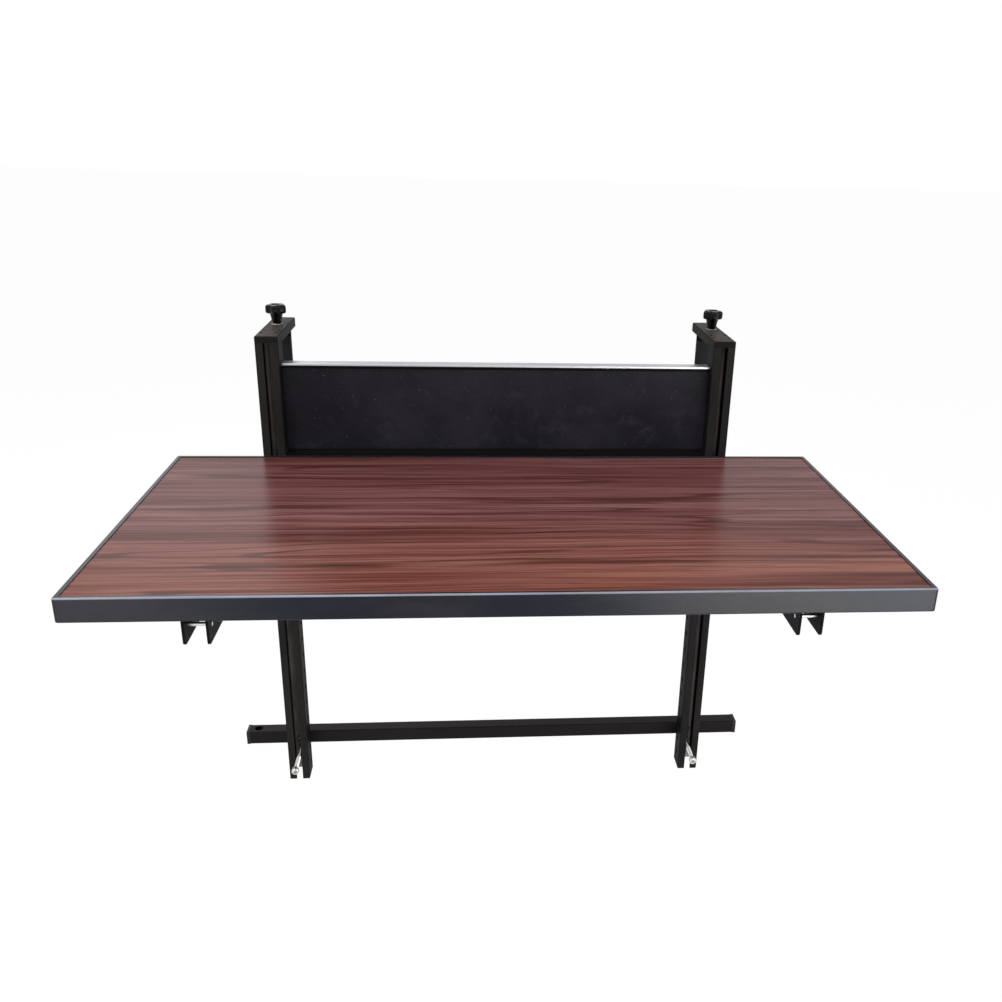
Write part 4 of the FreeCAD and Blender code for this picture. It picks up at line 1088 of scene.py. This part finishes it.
bands = streaks(length=0.90, width=0.042, detail=2.0, shift=1.7)
lines = streaks(length=0.50, width=0.0130, detail=2.0, shift=5.3)
threads = streaks(length=0.26, width=0.0048, detail=1.0, shift=9.1)
tone = bands * 0.30 + lines * 0.34 + threads * 0.36
front_lit_tones = [(place, [c * warmth for c, warmth in zip(colour, FRONT_LIGHT)]) for place, colour in TONES]
# Painted light: the print is made lighter and warmer towards the front edge.
painted_front_light = 1.0 - wood.steps(across, LEAF_FRONT + 0.02, LEAF_FRONT + 0.24)
grain = wood.blend(painted_front_light, wood.ramp(tone, TONES), wood.ramp(tone, front_lit_tones))
rings = growth_lines(streaks(length=0.90, width=0.060, detail=2.0, shift=3.9), rings=7.0, thin=0.13)
rings = rings * wood.steps(streaks(length=0.35, width=0.030, detail=2.0, shift=6.1), 0.40, 0.54)
grain = wood.blend(rings * 0.62, grain, RING_TONE)
dark_line = wood.steps(streaks(length=0.48, width=0.0070, detail=1.5, shift=3.9), 0.60, 0.655)
grain = wood.blend(dark_line * 0.60, grain, LINE_TONE)
pore = wood.steps(streaks(length=0.050, width=0.0020, detail=1.0, shift=7.7), 0.61, 0.68)
grain = wood.blend(pore * 0.30, grain, PORE_TONE)
laminate = wood.done(grain, tone * 0.12 + 0.20, threads - pore * 0.5, depth=0.00003, strength=0.25)
dress(laminate, "laminate_top")


# Edging. Anthracite strip with a glossy lacquer, pressed round the board and mitred. Its top
# arris is painted pale in patches along the front and back, a painted highlight of the rounded edge.
LEAF_TOP = -0.137
LEAF_BACK = -0.038
strip = Finish("anthracite_lacquer", Specular_IOR_Level=0.2)
smear = strip.noise(6, detail=4.0, stretch=(1, 1, 3))
handled = strip.noise(140, detail=3.0)
strip_shade = strip.blend(strip.steps(smear, 0.40, 0.62), (0.008, 0.010, 0.020), (0.024, 0.023, 0.031))
height = strip.axis("Z")
depth = strip.axis("Y")
near_top = strip.steps(height, LEAF_TOP - 0.0014, LEAF_TOP - 0.0008)
front_arris_highlight = 1.0 - strip.steps(depth, LEAF_FRONT + 0.0018, LEAF_FRONT + 0.0026)
back_arris_highlight = strip.steps(depth, LEAF_BACK - 0.0022, LEAF_BACK - 0.0010)
highlight_patches = strip.noise(9, detail=5.0, roughness=0.6) * 0.7 + 0.35
# Painted highlight: the top arris is painted pale, in patches, along the front and back.
arris_highlight = near_top * (front_arris_highlight + back_arris_highlight * 0.6) * highlight_patches
strip_shade = strip.blend(arris_highlight, strip_shade, (0.50, 0.52, 0.62))
strip_rough = smear * 0.14 + handled * 0.06 + 0.16
anthracite = strip.done(strip_shade, strip_rough, handled, depth=0.00003, strength=0.25)
dress(anthracite, *["edge_trim_" + edge for edge in ("front", "back", "left", "right")])


# Studio. A pale floor about a metre below the hooks, a pale surround and soft lamps. The camera
# and reflections see the floor and surround brighter than they light the table.
FLOOR_Z = -1.06
FLOOR_GREY = (0.86, 0.86, 0.86, 1.0)
FLOOR_GLOW = 1.06
FLOOR_CLEAR = 0.86
SKY_LIGHT = 0.55
SKY_SEEN = 1.0
bpy.ops.mesh.primitive_plane_add(size=40, location=(0, 8, FLOOR_Z))
floor = bpy.context.object
floor.name = "studio_floor"
ground = Finish("studio_floor", Roughness=0.9, Specular_IOR_Level=0.1, Base_Color=FLOOR_GREY)
path = ground.tree.nodes.new("ShaderNodeLightPath")
seen = Field(ground, path.outputs["Is Camera Ray"])
glossy = Field(ground, path.outputs["Is Glossy Ray"])
glow = ground.node("ShaderNodeEmission", {}, {"Color": (1, 1, 1, 1), "Strength": FLOOR_GLOW})
mixer = ground.tree.nodes.new("ShaderNodeMixShader")
ground.join(mixer.inputs[0], (seen + glossy) * FLOOR_CLEAR)
ground.tree.links.new(ground.shader.outputs[0], mixer.inputs[1])
ground.tree.links.new(glow.socket, mixer.inputs[2])
ground.tree.links.new(mixer.outputs[0], ground.tree.nodes["Material Output"].inputs[0])
floor.data.materials.append(ground.material)

scene = bpy.context.scene
scene.view_settings.view_transform = "Standard"
world = bpy.data.worlds.new("studio")
scene.world = world
world.use_nodes = True
sky = world.node_tree
backdrop = sky.nodes["Background"]
backdrop.inputs["Color"].default_value = (1, 1, 1, 1)
rays = sky.nodes.new("ShaderNodeLightPath")
total = sky.nodes.new("ShaderNodeMath")
total.operation = "ADD"
sky.links.new(rays.outputs["Is Camera Ray"], total.inputs[0])
sky.links.new(rays.outputs["Is Glossy Ray"], total.inputs[1])
level = sky.nodes.new("ShaderNodeMapRange")
level.inputs["To Min"].default_value = SKY_LIGHT
level.inputs["To Max"].default_value = SKY_SEEN
sky.links.new(total.outputs[0], level.inputs["Value"])
sky.links.new(level.outputs[0], backdrop.inputs["Strength"])


def lamp(name, place, aim, size, power):
    """A soft square lamp that faces a point."""
    light = bpy.data.lights.new(name, "AREA")
    light.shape = "SQUARE"
    light.size = size
    light.energy = power
    holder = bpy.data.objects.new(name, light)
    scene.collection.objects.link(holder)
    holder.location = place
    holder.rotation_euler = (Vector(aim) - Vector(place)).to_track_quat("-Z", "Y").to_euler()
    return holder


lamp("key_lamp", (-1.8, -1.2, 2.2), aim=(0, -0.1, -0.2), size=1.6, power=34)
lamp("fill_lamp", (2.4, -1.6, 1.0), aim=(0, -0.1, -0.3), size=1.8, power=16)
lamp("back_lamp", (-0.6, 2.4, 1.8), aim=(0, 0, -0.2), size=2.0, power=20)
for name, side, size, power in (("right_card", 1, 1.1, 27), ("left_card", -1, 0.7, 3.0)):
    shine = lamp(name, (side * 0.98, -2.0, -0.82), (side * 0.3, -0.44, -0.15), size, power)
    shine.visible_diffuse = False


# Dark card. It stands behind the table where only reflections see it, and keeps the pale haze
# off the leaf's middle.
bpy.ops.mesh.primitive_plane_add(size=1, location=(0.02, 1.2, 0.90), rotation=(math.pi / 2, 0, 0),
                                 scale=(0.95, 0.9, 1))
card = bpy.context.object
card.name = "dark_card"
card.visible_camera = False
card.visible_diffuse = False
card.visible_shadow = False
card.data.materials.append(Finish("dark_card", Base_Color=(0.02, 0.02, 0.02, 1.0), Roughness=0.9,
                                  Specular_IOR_Level=0.0).material)


# Camera. It stands where the photograph was taken from, and its lens and shift were found with
# its place by fitting the leaf, posts and crossbar.
EYE = (-0.03798, -1.23042, 0.25192)
EYE_RIGHT = Vector((0.99617, -0.08275, 0.02817))
EYE_UP = Vector((0.00356, 0.36043, 0.93278))
camera = bpy.data.cameras.new("camera")
camera.sensor_width = 36
camera.lens = 35.105
camera.shift_x = -0.0544
camera.shift_y = 0.0072
eye = bpy.data.objects.new("camera", camera)
scene.collection.objects.link(eye)
turn = Matrix((EYE_RIGHT, EYE_UP, EYE_RIGHT.cross(EYE_UP))).transposed()
eye.matrix_world = Matrix.Translation(EYE) @ turn.to_4x4()
scene.camera = eye
